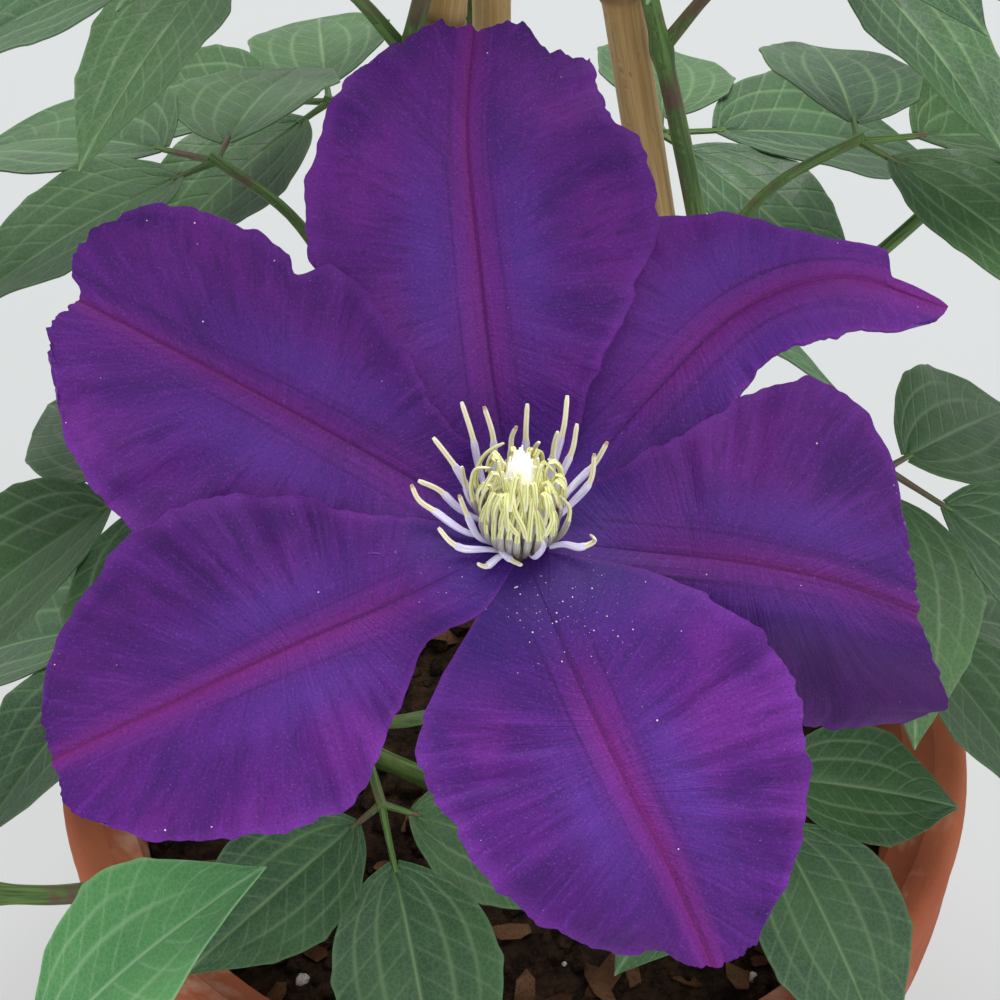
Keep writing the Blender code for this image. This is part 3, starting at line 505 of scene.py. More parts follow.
def tepal_finish():
    """Deep violet velvet: a soft magenta bar with fine dark veins, blue flanks, and streaks that fan out.
    Painted shade darkens it where each point carries it and in small creases, and a painted sheen lightens
    its margin.
    """
    sheen = {"Sheen Weight": 0.04, "Sheen Roughness": 0.4, "Sheen Tint": colour(190, 120, 230)}
    made = Finish("tepal_velvet", 0.6, 0.22, sheen)
    along, far, aside, across = made.carried("along far aside across")
    fan, reach, shade, strong = made.carried("fan reach shade bar")
    off = abs(aside)
    edge = abs(across)
    pleats = made.noise((fan * 9, reach * 0.05), 1, 2, 0.6, 0.4)
    veins = made.noise((fan * 34, reach * 0.09, 4), 1, 2, 0.65, 0.3)
    patches = made.noise((far * 0.05, aside * 0.07, fan * 0.02), 1, 1, 0.55)
    painted_crease_shade = made.noise((fan * 24, reach * 0.2, 9), 1, 2, 0.7, 0.6)
    lines = made.noise((aside * 0.9, far * 0.028, fan * 0.02), 1, 2, 0.65)
    grain = made.noise(made.here(), 2600, 1, 0.8)
    near = off.step(8, 3.5) * far.step(4, 12)
    side = off / (4.4 - along * along * 2.2) + lines * 0.16
    band = side.step(1.45, 0.6) * far.step(8, 28) * strong
    core = off.bell(0, 1.5) * far.step(9, 30) * strong
    side_vein = side.bell(1.04, 0.07) * far.step(4, 12) * along.step(0.92, 0.6)
    middle_vein = off.bell(0, 0.55) * far.step(5, 14)
    ruby = made.mix(along.step(0.3, 0.6), (58, 14, 88), (104, 14, 86))
    tone = made.paint(
        (pleats.step(0.32, 0.68), (67, 17, 103), (84, 20, 118)),
        (patches.step(0.4, 0.64) * (0.5 + off.step(6, 16) * 0.5), (100, 28, 126)),
        (off.bell(7.5, 4.4) * far.bell(40, 16) * (0.35 + veins * 0.7), (86, 46, 142)),
        (veins.step(0.5, 0.75) * 0.4, (60, 14, 94)),
        (veins.step(0.46, 0.28) * 0.35, (112, 44, 150)),
        # Painted shade in the small creases of the velvet.
        (painted_crease_shade.step(0.5, 0.74) * off.step(3, 12) * 0.4, (50, 12, 82)),
        (far.step(22, 5) * 0.72, (64, 33, 130)),
        (band * (0.22 + lines * 0.44), (120, 38, 132)),
        (core * 0.42, (124, 25, 116)),
        (lines.step(0.52, 0.7) * near * 0.4, (56, 14, 88)),
        (lines.step(0.42, 0.26) * near * 0.3, (118, 52, 142)),
        (side_vein * (0.12 + lines * 0.5), (54, 14, 88)),
        (middle_vein * (0.18 + veins * 0.5), ruby),
        # Painted sheen: the margin is lightened as if the velvet caught the light there.
        (edge.step(0.86, 1) * (0.3 + pleats * 0.5), (110, 42, 142)),
        (grain.step(0.55, 0.8) * 0.4, (130, 72, 168)),
        (grain.step(0.45, 0.22) * 0.5, (42, 10, 68)),
    )
    # Painted shade: the tone is darkened by the shade that each point carries.
    made.set("Base Color", made.mix(shade, (0, 0, 0), tone))
    return made.relief(veins * 0.8 + lines * near * 0.6 - middle_vein * 0.6 + grain * 0.25, 0.6, 0.5)


def tepal_back_finish():
    """The back of a tepal: dull violet, paler down the middle, with three low ribs."""
    made = Finish("tepal_back", 0.65, 0.3, {"Sheen Weight": 0.3})
    along, aside, across, fan, reach = made.carried("along aside across fan reach")
    off = abs(aside)
    pale = abs(across).step(0.5, 0.12) * along.step(0.98, 0.6)
    veins = made.noise((fan * 40, reach * 0.09, 4), 1, 3, 0.6)
    rib = off.bell(0, 0.7) + (off - 3).bell(0, 0.5)
    made.paint(
        (veins.step(0.4, 0.7), (88, 48, 128), (112, 72, 150)),
        (pale * 0.7, (138, 116, 150)),
        (rib * 0.4, (120, 110, 110)),
    )
    return made.relief(veins * 0.4 + rib, 0.6, 0.5)


def bloom_tepals(node, tepals, lean, seed, cells, centre, axes):
    """Makes the tepals of a bloom, which lean back by some degrees where they meet."""
    for number, (name, tepal) in enumerate(tepals.items()):
        def place_tepal(u, v):
            points, values = tepal_sheet(tepal, lean, u, v, seed + number)
            return centre + points @ axes, values

        blade = sheet_piece("tepal_" + name, cells, place_tepal)
        held(blade, "tepals", node, tepal_velvet, tepal_back, wall=TEPAL_THICKNESS)


tepal_velvet = tepal_finish()
tepal_back = tepal_back_finish()
hero_axes = bloom_axes(270, VIEW_ELEVATION)
bloom_tepals("bloom_front_tepals", TEPALS, HERO_LEAN, 0, TEPAL_CELLS, HERO_CENTRE, hero_axes)

# The hub of the large bloom: the green end of its stalk, which widens into a low knob. It is of one growth
# with the stalk, and carries the tepals round its edge and the stamens on its face.
HUB_PROFILE = [
    (0, -6.2), (1.6, -6), (2.4, -5.4), (3.4, -4), (4.9, -2.2), (5.5, -0.9), (5.3, -0.2), (3, 0.3), (0, 0.4),
]
HUB_SIDES = 32


def turned_piece(name, profile, sides, centre=(0, 0, 0), axes=np.eye(3), swell=None, **by_row):
    """A piece turned about an axis from (radius, height) points, with more values for each of them by name.
    Swell changes its radius round it and up it."""
    radii, heights = np.asarray(profile, float).T
    steps = np.hypot(np.diff(radii), np.diff(heights))
    by_row.update({"far": np.concatenate([[0], np.cumsum(steps)]), "up": heights})

    def place_turned(u, v):
        row = np.round(u * (len(radii) - 1)).astype(int)
        turn = math.pi * v
        r = radii[row] * (swell(turn, heights[row]) if swell else 1)
        flat = np.stack([r * np.cos(turn), r * np.sin(turn), heights[row]], -1)
        values = {key: value[row] for key, value in by_row.items()}
        return np.asarray(centre, float) + flat @ axes, {"round": v, **values}

    return sheet_piece(name, (len(radii) - 1, sides), place_turned)


def green_finish(name, dark, light, flush):
    """Green stalk: fine ribs along it, with a flush in patches."""
    made = Finish(name, 0.5, 0.35)
    far, turn = made.carried("far round")
    ribs = made.noise((turn * 7, far * 0.06, 2), 1, 2, 0.6)
    patches = made.noise(made.here(), 90, 3, 0.6)
    made.paint((ribs.step(0.35, 0.65), dark, light), (patches.step(0.48, 0.66) * 0.75, flush))
    made.set("Roughness", 0.42 + ribs * 0.2)
    return made.relief(ribs + made.noise(made.here(), 1800) * 0.3, 0.5, 0.4)


def bloom_hub(bloom, centre, axes):
    """Makes the hub of a bloom, whose face looks along the last of the axes."""
    hub = turned_piece("hub_" + bloom, HUB_PROFILE, HUB_SIDES, centre, axes)
    held(hub, "foliage", f"bloom_{bloom}_tepals", stalk_green)


stalk_green = green_finish("stalk_green", (62, 92, 44), (104, 134, 66), (104, 66, 66))
tilt = math.radians(HERO_LEAN)
hero_boss = np.array([(1, 0, 0), (0, math.cos(tilt), -math.sin(tilt)), (0, math.sin(tilt), math.cos(tilt))])
bloom_hub("front", HERO_CENTRE, hero_boss @ hero_axes)

# The stamens of the large bloom: flat lilac-white filaments with slender yellow-green anthers, which grow
# round a core on the hub that is painted the grey-green of filaments in shade, to fill the gaps between
# them. An outer row splays out one by one, and inside it crowded rings stand up as a barrel and curl in over
# a tuft of silky white styles.

# Each outer stamen is the points that it passes, from its foot: x and y as seen from in front, and z towards
# the eye.
OUTER_STAMENS = [
    [(-4.6, 5.2, -2), (-6.5, 11.9, 0), (-7.3, 15.8, 2.5), (-9.1, 21.5, 4.6)],
    [(-3, 6, -2.6), (-4, 11.9, 0), (-4.2, 16.1, 2.8), (-5.6, 20.8, 5.2)],
    [(-1, 6, -3), (-1.4, 13.8, 1.6), (-1.3, 16, 3), (-0.6, 17.7, 5)],
    [(0.6, 6, -3), (0.9, 13.8, 0.6), (0.9, 17.1, 2.8), (1.1, 21.2, 5)],
    [(1.6, 6, -2.8), (2.4, 12.5, 1), (2.3, 14.4, 3.6), (2.9, 15.3, 6)],
    [(3.6, 5.6, -2.4), (5.7, 13.5, 1), (6.8, 17.7, 3.4), (7.3, 22.5, 5)],
    [(3.4, 5.2, -2), (5, 12.4, 2.4), (5.3, 15, 4.6), (5.8, 16.9, 7)],
    [(4.4, 4.8, -1.6), (6.5, 10.4, 1), (8.1, 14, 3.4), (8.8, 18.1, 5.6)],
    [(5, 3.6, -0.8), (7.3, 7.3, 0.6), (11.9, 12.4, 3.4), (13.5, 15.3, 5.6)],
    [(5.2, 2.8, -0.2), (7.9, 5.6, 1), (11, 9.5, 3.6), (11.5, 13.5, 5.4)],
    [(4.6, -1, 2.4), (6.6, -0.6, 3.4), (9.4, -1, 5), (11.6, 0.2, 6.6), (10.9, 0.9, 7.6)],
    [(-5.2, 4.4, -1.4), (-7.3, 6.8, 0.6), (-10.1, 11.5, 3.2), (-13.5, 16, 5.2)],
    [(-5.2, 3.8, -1), (-7.3, 5.7, 1.4), (-8.6, 9, 4), (-9.1, 11.5, 6.4)],
    [(-5.2, 2.6, -0.2), (-9.3, 4.8, 1.2), (-12.7, 7.9, 3.6), (-15.8, 9.3, 5.6)],
    [(-4.8, 0.6, 1), (-7.3, 0.9, 1.8), (-13.2, 4.5, 3.4), (-15.8, 6.4, 4.6), (-16.9, 8.7, 5.6)],
    [(-4.4, -0.4, 2), (-6, 0.2, 3), (-8.1, 3.7, 5.4), (-9.5, 7.1, 7.6)],
    [(-3.2, -1.6, 3), (-4.8, -1.4, 3.6), (-9.3, -1.1, 4.4), (-10.7, -0.3, 5.4), (-12.7, 2, 6.6)],
    [(-2, -1.8, 3.6), (-3.4, -2.6, 4.2), (-5.4, -4, 5.4), (-6.6, -3.6, 6.8)],
    [(-2.4, -1, 4), (-2.9, -1.4, 5), (-1.4, -3, 6.4), (0.2, -3.8, 7.6)],
    [(1.2, -1.8, 4.4), (1.9, -2.6, 5.4), (3.4, -0.9, 7.8), (2.2, 2.2, 10.4)],
]
# Stamens of the barrel that stray from it, in the same way, and the share of each that is filament.
STRAY_STAMENS = [
    (0.3, [(-5, 5, 1), (-6.9, 9.4, 4.6), (-6.1, 12.5, 7), (-4.7, 14.1, 9), (-2.6, 15.2, 10)]),
    (0.34, [(-5.6, 3, 2.4), (-7.2, 6, 5.4), (-7.6, 9.1, 8), (-6.9, 11.2, 9.6), (-4.6, 11.4, 11)]),
    (0.3, [(4.8, 4.6, 1), (6.4, 8.2, 5), (5.9, 11.5, 7.6), (4.4, 12.7, 9.6)]),
    (0.5, [(4.6, -0.4, 4), (6.4, 1.1, 6), (7.6, 5.1, 9), (6.2, 7, 11.4)]),
    (0.05, [(4, 9, 13), (4.5, 6, 14), (4.9, 3.4, 13), (3.9, 0.8, 11.4)]),
    (0.05, [(-1.4, 8.6, 15), (-1, 5, 14.8), (0.4, 2, 12.8), (0.8, 0.4, 11)]),
    (0.05, [(-3.4, 8, 14), (-3, 5.4, 14.2), (-1.6, 2.4, 12.8), (-0.4, 0.9, 11.4)]),
]
OUTER_ANTHER = 0.63
OUTER_TINT = 0.38
STRAY_TINT = 0.62
FILAMENT_HALF = 0.6
ANTHER_HALF = 0.43
RIBBON_THICKNESS = 0.62
STAMEN_CELLS = (22, 8)
STYLE_CELLS = (10, 5)
BOSS_FOOT = 1.2
GOLDEN_SHARE = 0.618
GOLDEN_TURN = 2.4
CORE_PROFILE = [(0, 0.4), (3.6, 0.5), (4.2, 1.6), (4.3, 4), (4, 7), (3, 9.6), (1.4, 10.8), (0, 11)]
# The barrel: how many styles it has, how high they reach, and its rings from outside in. A ring is how many
# stamens it has, how far out they stand, how high they reach, how far their ends tuck in, the share that is
# filament, how many of them arch back and hang down outside, and the cells of each.
HERO_BARREL = {
    "seed": 5,
    "size": 1,
    "styles": 80,
    "top": 23.2,
    "core": 1,
    "core_sides": 24,
    "rings": (
        (27, 5.5, 14.2, 3.2, 0.4, 0.0, (18, 6)),
        (24, 4.6, 16.4, 2.4, 0.5, 0.35, (18, 6)),
        (19, 3.7, 18, 1.4, 0.55, 0.45, (18, 6)),
        (15, 2.9, 19.2, 0.5, 0.6, 0.25, (16, 6)),
    ),
}


def along(points, t):
    """Point at t, from 0 to 1, of the smooth route through the points, spaced by their distances."""
    points = np.asarray(points, float)
    steps = np.linalg.norm(np.diff(points, axis=0), axis=1)
    stations = np.concatenate([[0], np.cumsum(steps)]) / steps.sum()
    return smooth(stations, points, t)


def rod_piece(name, route, half, cells, first_side=(0.31, 0.87, 0.38), flat=1, carried=None):
    """A closed rod along a route. Half is its half-width at a share of the way, flat is how thick it is to
    that, and carried gives more values at a share of the way."""
    rows = np.linspace(0, 1, cells[0] + 1)
    share = np.clip((rows * cells[0] - 1) / (cells[0] - 2), 0, 1)
    line = along(route, share)
    stations = np.linspace(0, 1, 60)
    ahead = unit(np.gradient(along(route, stations), axis=0))
    ahead = np.stack([np.interp(share, stations, a) for a in ahead.T], -1)
    widths = half(share) * ((rows > 0) & (rows < 1))
    sides = []
    side = np.asarray(first_side, float)
    for direction in ahead:
        side = unit(side - direction * np.dot(side, direction))
        sides.append(side)
    sides = np.array(sides)
    overs = np.cross(ahead, sides)
    length = np.linalg.norm(np.diff(line, axis=0), axis=1).sum()

    def place_rod(u, v):
        row = np.round(u * cells[0]).astype(int)
        turn = math.pi * v
        out = np.cos(turn)[:, None] * sides[row] + flat * np.sin(turn)[:, None] * overs[row]
        values = {"along": share[row], "far": share[row] * length, "round": v}
        values.update(carried(share[row]) if carried else {})
        return line[row] + out * widths[row][:, None], values

    return sheet_piece(name, cells, place_rod)


def joined(name, pieces):
    """Joins pieces into one."""
    select(*pieces)
    bpy.ops.object.join()
    whole = bpy.context.object
    whole.name = name
    whole.data.name = name
    return whole


def stamen_piece(route, split, cells, size, side, tint):
    """One stamen: a flat filament with a shoulder, then a slender anther that tapers to its tip."""
    def half(t):
        filament = FILAMENT_HALF * (0.62 + 0.38 * fade(t, 0, 0.8 * split))
        anther = ANTHER_HALF * (1 - 0.3 * fade(t, 0.95, 1)) * (1 - 0.12 * fade(t, split, 1))
        return size * (filament + (anther - filament) * fade(t, split - 0.03, split + 0.03))

    def carried(t):
        return {"anther": np.clip((t - split) / (1 - split), -0.2, 1), "tint": tint + 0 * t}

    return rod_piece("stamen", route, half, cells, side, RIBBON_THICKNESS, carried)


def stamen_finish():
    """Lilac-white filaments, greyer where they crowd in the barrel, partly as painted shade, and darkened
    with painted shade towards the barrel's foot; anthers with a green middle between cream edges.
    """
    made = Finish("stamen_pale", 0.5, 0.35)
    anther, tint, turn, far = made.carried("anther tint round far")
    rim = abs((turn * math.pi).math("COSINE"))
    speckle = made.noise(made.here(), 2400, 2, 0.6)
    lines = made.noise((turn * 5, far * 0.25, tint * 40), 1, 2, 0.6)
    streaks = lines.step(0.35, 0.7)
    inside = tint.step(0.4, 0.6)
    # Painted shade: the crowded filaments of the barrel are partly greyed by it, and darkened towards their
    # foot.
    crowded = made.mix(streaks, (172, 162, 156), (230, 224, 220))
    crowded = made.mix(far.step(8, 2) * 0.7, crowded, (118, 100, 92))
    filament = made.mix(inside, made.mix(streaks, (210, 199, 238), (243, 236, 253)), crowded)
    middle = made.mix(tint.step(0.3, 0.6), (218, 208, 134), (190, 202, 72))
    cream = made.mix(inside, (243, 232, 214), (253, 248, 194))
    pollen = made.mix(rim.step(0.08, 0.42), middle, cream)
    pollen = made.mix(speckle.step(0.5, 0.7) * 0.3, pollen, (236, 232, 140))
    tip = made.mix((tint * 7.3).math("FRACT").step(0.55, 0.7), (250, 244, 210), (186, 128, 112))
    pollen = made.mix(anther.step(0.85, 0.98) * 0.8, pollen, tip)
    made.paint((anther.step(-0.02, 0.05), filament, pollen))
    return made.relief(rim * 0.6 + lines * 0.5 + speckle * 0.3, 0.5, 0.3)


def style_finish():
    """Silky white styles with a painted glow: they give off a little light of their own, for the light that
    shines through them.
    """
    # Painted light: the styles glow with their own colour, though they are no lamp.
    made = Finish("style_white", 0.42, 0.4, {"Emission Strength": 0.22})
    share, turn, far = made.carried("along round far")
    silk = made.noise((turn * 6, far * 0.3), 1, 2)
    young = (share.step(0.1, 0.5), (226, 232, 190), (255, 255, 252))
    made.set("Emission Color", made.paint(young, (silk * 0.12, (232, 234, 216))))
    return made.relief(silk, 0.4, 0.2)


def crowded_stamens(barrel, draw, frame_axes):
    """The stamens of a barrel, side by side with their anthers curled in: the route of each, the share of it
    that is filament, its cells, its flat side and its tint."""
    right, up, axis = frame_axes
    size = barrel["size"]
    for level, (count, stand, height, curl, filament, hang, cells) in enumerate(barrel["rings"]):
        for k in range(count):
            turn = 2 * math.pi * (k + 0.5 * level + draw.uniform(-0.22, 0.22)) / count
            out = right * math.cos(turn) + up * math.sin(turn)
            beside = -right * math.sin(turn) + up * math.cos(turn)
            radius = stand * draw.uniform(0.95, 1.05) * size
            tall = height * draw.uniform(0.93, 1.06) * size * (1 - 0.07 * math.sin(turn))
            swing = draw.uniform(-2.2, 2.2) * size
            tuck = curl * draw.uniform(0.5, 1.2) * size
            route = [
                axis * BOSS_FOOT + out * radius * 0.76,
                axis * 0.3 * tall + out * radius * 1.03 + beside * 0.05 * swing,
                axis * 0.6 * tall + out * radius * 1.08 + beside * 0.25 * swing,
                axis * 0.86 * tall + out * (radius - 0.3 * tuck) + beside * 0.6 * swing,
                axis * tall + out * (radius - tuck) + beside * swing,
            ]
            split = filament * draw.uniform(0.85, 1.15)
            if draw.random() < hang:
                fall = draw.uniform(0.3, 1)
                low = tall - (3 + 4 * fall) * size
                route[3:] = [
                    axis * (0.9 * tall) + out * radius + beside * 0.4 * swing,
                    axis * tall + out * (radius + 0.9 * size) + beside * 0.6 * swing,
                    axis * (tall - 1.6 * size) + out * (radius + 1.9 * size) + beside * 0.9 * swing,
                    axis * low + out * (6.2 + 0.5 * fall) * size + beside * 1.2 * swing,
                ]
                split = 0.5
            yield route, split, cells, beside, draw.uniform(0.6, 1)


def tuft_styles(barrel, draw, frame_axes):
    """The routes of the styles, which stand close together inside a barrel."""
    right, up, axis = frame_axes
    size = barrel["size"]
    for k in range(barrel["styles"]):
        turn = GOLDEN_TURN * k
        spread = math.sqrt((k + 0.5) / barrel["styles"])
        out = right * math.cos(turn) + up * math.sin(turn)
        tall = (barrel["top"] - 4.4 * spread + draw.uniform(-0.9, 0.7)) * size
        yield [
            axis * 6 * size + out * 1.9 * spread * size,
            axis * 0.72 * tall + out * 2.3 * spread * size,
            axis * tall + out * 1.5 * spread * size + right * draw.uniform(-0.4, 0.4) * size,
        ]


def bloom_middle(bloom, barrel, outer, centre, boss, axes):
    """Makes the middle of a bloom: its outer stamens with those of its barrel, its styles and its core."""
    draw = random.Random(barrel["seed"])
    size = barrel["size"]
    crowd = []
    for route, split, cells, beside, tint in crowded_stamens(barrel, draw, boss):
        crowd.append(stamen_piece([centre + p @ axes for p in route], split, cells, size, beside, tint))
    tuft = []
    for route in tuft_styles(barrel, draw, boss):
        def half(t):
            return size * (0.5 - 0.38 * fade(t, 0.6, 1))

        tuft.append(rod_piece("style", [centre + p @ axes for p in route], half, STYLE_CELLS))
    node = f"bloom_{bloom}_stamens"
    held(joined("stamens_" + bloom, outer + crowd), "stamens", node, stamen_pale)
    held(joined("styles_" + bloom, tuft), "stamens", node, style_white)
    profile = barrel["core"] * np.array(CORE_PROFILE)
    core = turned_piece("core_" + bloom, profile, barrel["core_sides"], centre, boss @ axes)
    held(core, "stamens", node, core_painted_shade)


def seen_route(points):
    """Where points of the large bloom stand, from where they are seen and how near the eye they are."""
    route = []
    for x, y, z in points:
        seen = 1 - z / SEEN_FROM
        route.append(HERO_CENTRE + np.array((x * seen, y * seen, z)) @ hero_axes)
    return route


stamen_pale = stamen_finish()
style_white = style_finish()
# Painted shade: the core is coloured as filaments in shade, to fill the gaps seen between them.
core_painted_shade = green_finish("core_painted_shade", (120, 124, 84), (168, 170, 128), (140, 140, 96))
outer = []
for number, points in enumerate(OUTER_STAMENS):
    x, y, _ = points[-1]
    beside = unit((-y, x, 0)) @ hero_axes
    tint = 0.02 + OUTER_TINT * (number * GOLDEN_SHARE % 1)
    outer.append(stamen_piece(seen_route(points), OUTER_ANTHER, STAMEN_CELLS, 1, beside, tint))
for split, points in STRAY_STAMENS:
    x, y, _ = points[1]
    beside = unit((-y, x - 2, 0) if split > 0.1 else (1, 0.2, 0)) @ hero_axes
    outer.append(stamen_piece(seen_route(points), split, STAMEN_CELLS, 1, beside, STRAY_TINT))
bloom_middle("front", HERO_BARREL, outer, HERO_CENTRE, hero_boss, hero_axes)

# Grains of pollen that have dropped from the anthers and cling to the velvet, most of them below the barrel.
# Each cluster lies round a spot, as seen from in front, and the last one is over the whole bloom.
POLLEN_CLUSTERS = (
    {"at": (7.6, -8.6), "spread": (4.4, 3.4), "count": 90, "sizes": (0.3, 1.4)},
    {"at": (0.3, -3.9), "spread": (0.1, 0.75), "count": 2, "sizes": (1.6, 2)},
    {"at": (11.5, -14.5), "spread": (5, 4), "count": 44, "sizes": (0.3, 1.3)},
    {"at": (-9, -6), "spread": (6, 3), "count": 14, "sizes": (0.3, 1.2)},
    {"at": (0, 0), "spread": (44, 44), "count": 60, "sizes": (0.4, 1.6)},
)
POLLEN_RADIUS = 0.12
POLLEN_REST = 0.05
POLLEN_REACH = 0.9
POLLEN_SEED = 31
VELVET_ALONG = np.linspace(0.04, 0.94, 60)
VELVET_ACROSS = np.linspace(-0.9, 0.9, 50)


def strewn(shape, places, scales, turns):
    """Copies of a small shape, each with its place, size and turn in its own mesh. The shape is removed."""
    copies = []
    for place, scale, turn in zip(places, scales, turns):
        one = shape.copy()
        one.data = shape.data.copy()
        bpy.context.scene.collection.objects.link(one)
        one.location = Vector(place) * MM
        one.scale = scale
        one.rotation_euler = turn
        copies.append(one)
    bpy.data.objects.remove(shape)
    select(*copies)
    bpy.ops.object.transform_apply(location=True, rotation=True, scale=True)
    return copies


def speck_finish(name, roughness, scale, dark, light):
    """Something small and pale, whose colour varies from one place to the next."""
    made = Finish(name, roughness)
    made.paint((made.noise(made.here(), scale), dark, light))
    return made.material


draw = random.Random(POLLEN_SEED)
rows, columns = np.meshgrid(VELVET_ALONG, VELVET_ACROSS)
sheets = [tepal_sheet(tepal, HERO_LEAN, rows, columns, k)[0] for k, tepal in enumerate(TEPALS.values())]
velvet = np.concatenate([sheet.reshape(-1, 3) for sheet in sheets])
spots = []
sizes = []
for cluster in POLLEN_CLUSTERS:
    for _ in range(cluster["count"]):
        x, y = (draw.gauss(a, s) for a, s in zip(cluster["at"], cluster["spread"]))
        apart = np.hypot(velvet[:, 0] - x, velvet[:, 1] - y)
        below = velvet[apart < apart.min() + POLLEN_REACH]
        spot = below[np.argmax(below[:, 2])] + (0, 0, 0.5 * TEPAL_THICKNESS + POLLEN_REST)
        spots.append(HERO_CENTRE + spot @ hero_axes)
        low, high = cluster["sizes"]
        size = low + (high - low) * draw.random() ** 3
        sizes.append((size, size * draw.uniform(0.6, 1), size))
select()
bpy.ops.mesh.primitive_ico_sphere_add(subdivisions=1, radius=POLLEN_RADIUS * MM)
grains = strewn(bpy.context.object, spots, sizes, [(0, 0, 0)] * len(spots))
pollen = speck_finish("pollen", 0.6, 300, (206, 186, 220), (236, 226, 214))
held(joined("pollen_front", grains), "stamens", "bloom_front_stamens", pollen)

# The smaller blooms: the same kind of bloom as the large one, younger or further round the plant, each on its
# own stalk. Their tepals are drawn from one outline, and no two of them are alike.
PLAIN_PROFILE = (0.12, 0.36, 0.72, 0.94, 1, 0.93, 0.72, 0.42, 0.11)
PLAIN_TIP = (0.2, 0.8, 1.3, 1.7, 1.3, 0.8, 0.2)
PLAIN_MIDRIB = (0.04, 0.3, 0.55, 0.78, 1)
PLAIN_WIDTH = 0.36
PLAIN_LAYER = 2.4
PLAIN_REACH = 0.25
PLAIN_CELLS = (56, 40)
PLAIN_OUTER = 13
PLAIN_OUTER_FOOT = 3.6
PLAIN_OUTER_CELLS = (14, 6)
PLAIN_OUTER_SIZE = 0.9
PLAIN_BARREL = {
    "size": 0.86,
    "styles": 40,
    "top": 17,
    "core": 0.8,
    "core_sides": 20,
    "rings": (
        (20, 5, 12, 2, 0.45, 0.1, (12, 6)),
        (15, 3.7, 13.4, 1.6, 0.5, 0.2, (12, 6)),
    ),
}
BLOOMS = {
    "left": {"centre": (-140, -30, 292), "facing": (200, 40), "size": 62, "cup": 3, "seed": 4},
    "right": {"centre": (126, 56, 332), "facing": (35, 42), "size": 64, "cup": 2, "seed": 11},
    "top": {"centre": (0, 24, 512), "facing": (292, 60), "size": 60, "cup": 5, "seed": 23},
}


def plain_tepals(name, bloom):
    """The six tepals of a smaller bloom, three inner ones over three outer ones."""
    draw = random.Random(bloom["seed"])
    made = {}
    for k in range(6):
        turn = math.radians(60 * k + draw.uniform(-6, 6))
        length = bloom["size"] * draw.uniform(0.93, 1.07)
        bend = draw.uniform(-5, 5)
        midrib = [
            (length * r * math.cos(turn) - bend * r * r * math.sin(turn),
             length * r * math.sin(turn) + bend * r * r * math.cos(turn))
            for r in PLAIN_MIDRIB
        ]
        width = PLAIN_WIDTH * bloom["size"] * draw.uniform(0.9, 1.08)
        cup = bloom["cup"]
        made[f"{name}_{k + 1}"] = {
            "midrib": midrib,
            "left": [width * p for p in PLAIN_PROFILE],
            "right": [width * p * draw.uniform(0.97, 1.05) for p in PLAIN_PROFILE],
            "tip": PLAIN_TIP,
            "lift": ((0, 2, draw.uniform(1, 5), 1), (0, 2, draw.uniform(1, 5), 1)),
            "rise": (0, 0.35 * cup, 0.9 * cup, cup + draw.uniform(-5, 0)),
            "ruffle": (1.0, draw.uniform(2.4, 3.4), draw.uniform(0, 6)),
            "layer": PLAIN_LAYER * (k % 2),
        }
    return made


for name, bloom in BLOOMS.items():
    axes = bloom_axes(*bloom["facing"])
    centre = np.array(bloom["centre"], float)
    seed = bloom["seed"]
    bloom_tepals(f"bloom_{name}_tepals", plain_tepals(name, bloom), 0, 10 * seed, PLAIN_CELLS, centre, axes)
    bloom_hub(name, centre, axes)
    draw = random.Random(seed + 1)
    reach = PLAIN_REACH * bloom["size"]
    outer = []
    for k in range(PLAIN_OUTER):
        turn = 2 * math.pi * (k + 0.3 * math.sin(4 * k)) / PLAIN_OUTER
        out = np.array((math.cos(turn), math.sin(turn), 0))
        beside = np.array((-out[1], out[0], 0))
        swing = draw.uniform(-2, 2)
        route = [
            out * PLAIN_OUTER_FOOT + (0, 0, BOSS_FOOT),
            out * 0.5 * reach + (0, 0, 2.5),
            out * 0.8 * reach + (0, 0, 5) + beside * 0.3 * swing,
            out * reach * draw.uniform(0.85, 1.05) + (0, 0, 0.55 * reach) + beside * swing,
        ]
        route = [centre + p @ axes for p in route]
        tint = OUTER_TINT * (k * GOLDEN_SHARE % 1)
        side = beside @ axes
        outer.append(stamen_piece(route, OUTER_ANTHER, PLAIN_OUTER_CELLS, PLAIN_OUTER_SIZE, side, tint))
    bloom_middle(name, {**PLAIN_BARREL, "seed": seed + 2}, outer, centre, np.eye(3), axes)

# The buds: closed tepals, pressed edge to edge into six low ridges that twist a little. They are green and
# flushed violet near the tip, and a down of short silvery hairs covers them.
BUD_ASPECT = 0.23
BUD_RIDGE = 0.08
BUD_SEAM = 0.05
BUD_SWIRL = 0.5
BUD_STATIONS = (0, 0.1401, 0.3602, 0.6603, 0.9304, 1.0005)
BUD_WIDTHS = (0.3, 0.85, 1, 0.72, 0.2, 0)
BUD_END = (0.14, 0.1, 0.06, 0)
BUD_CELLS = (44, 72)
BUD_HAIRS = 260
HAIR_RADIUS = 0.035
HAIR_LENGTH = 0.8
BUDS = {
    "bud_left": {"tip": (-156, -112, 262), "facing": (215, 45), "length": 26},
    "bud_right": {"tip": (78, -30, 432), "facing": (340, 58), "length": 31},
    "bud_back": {"tip": (-58, 112, 372), "facing": (120, 50), "length": 25},
}


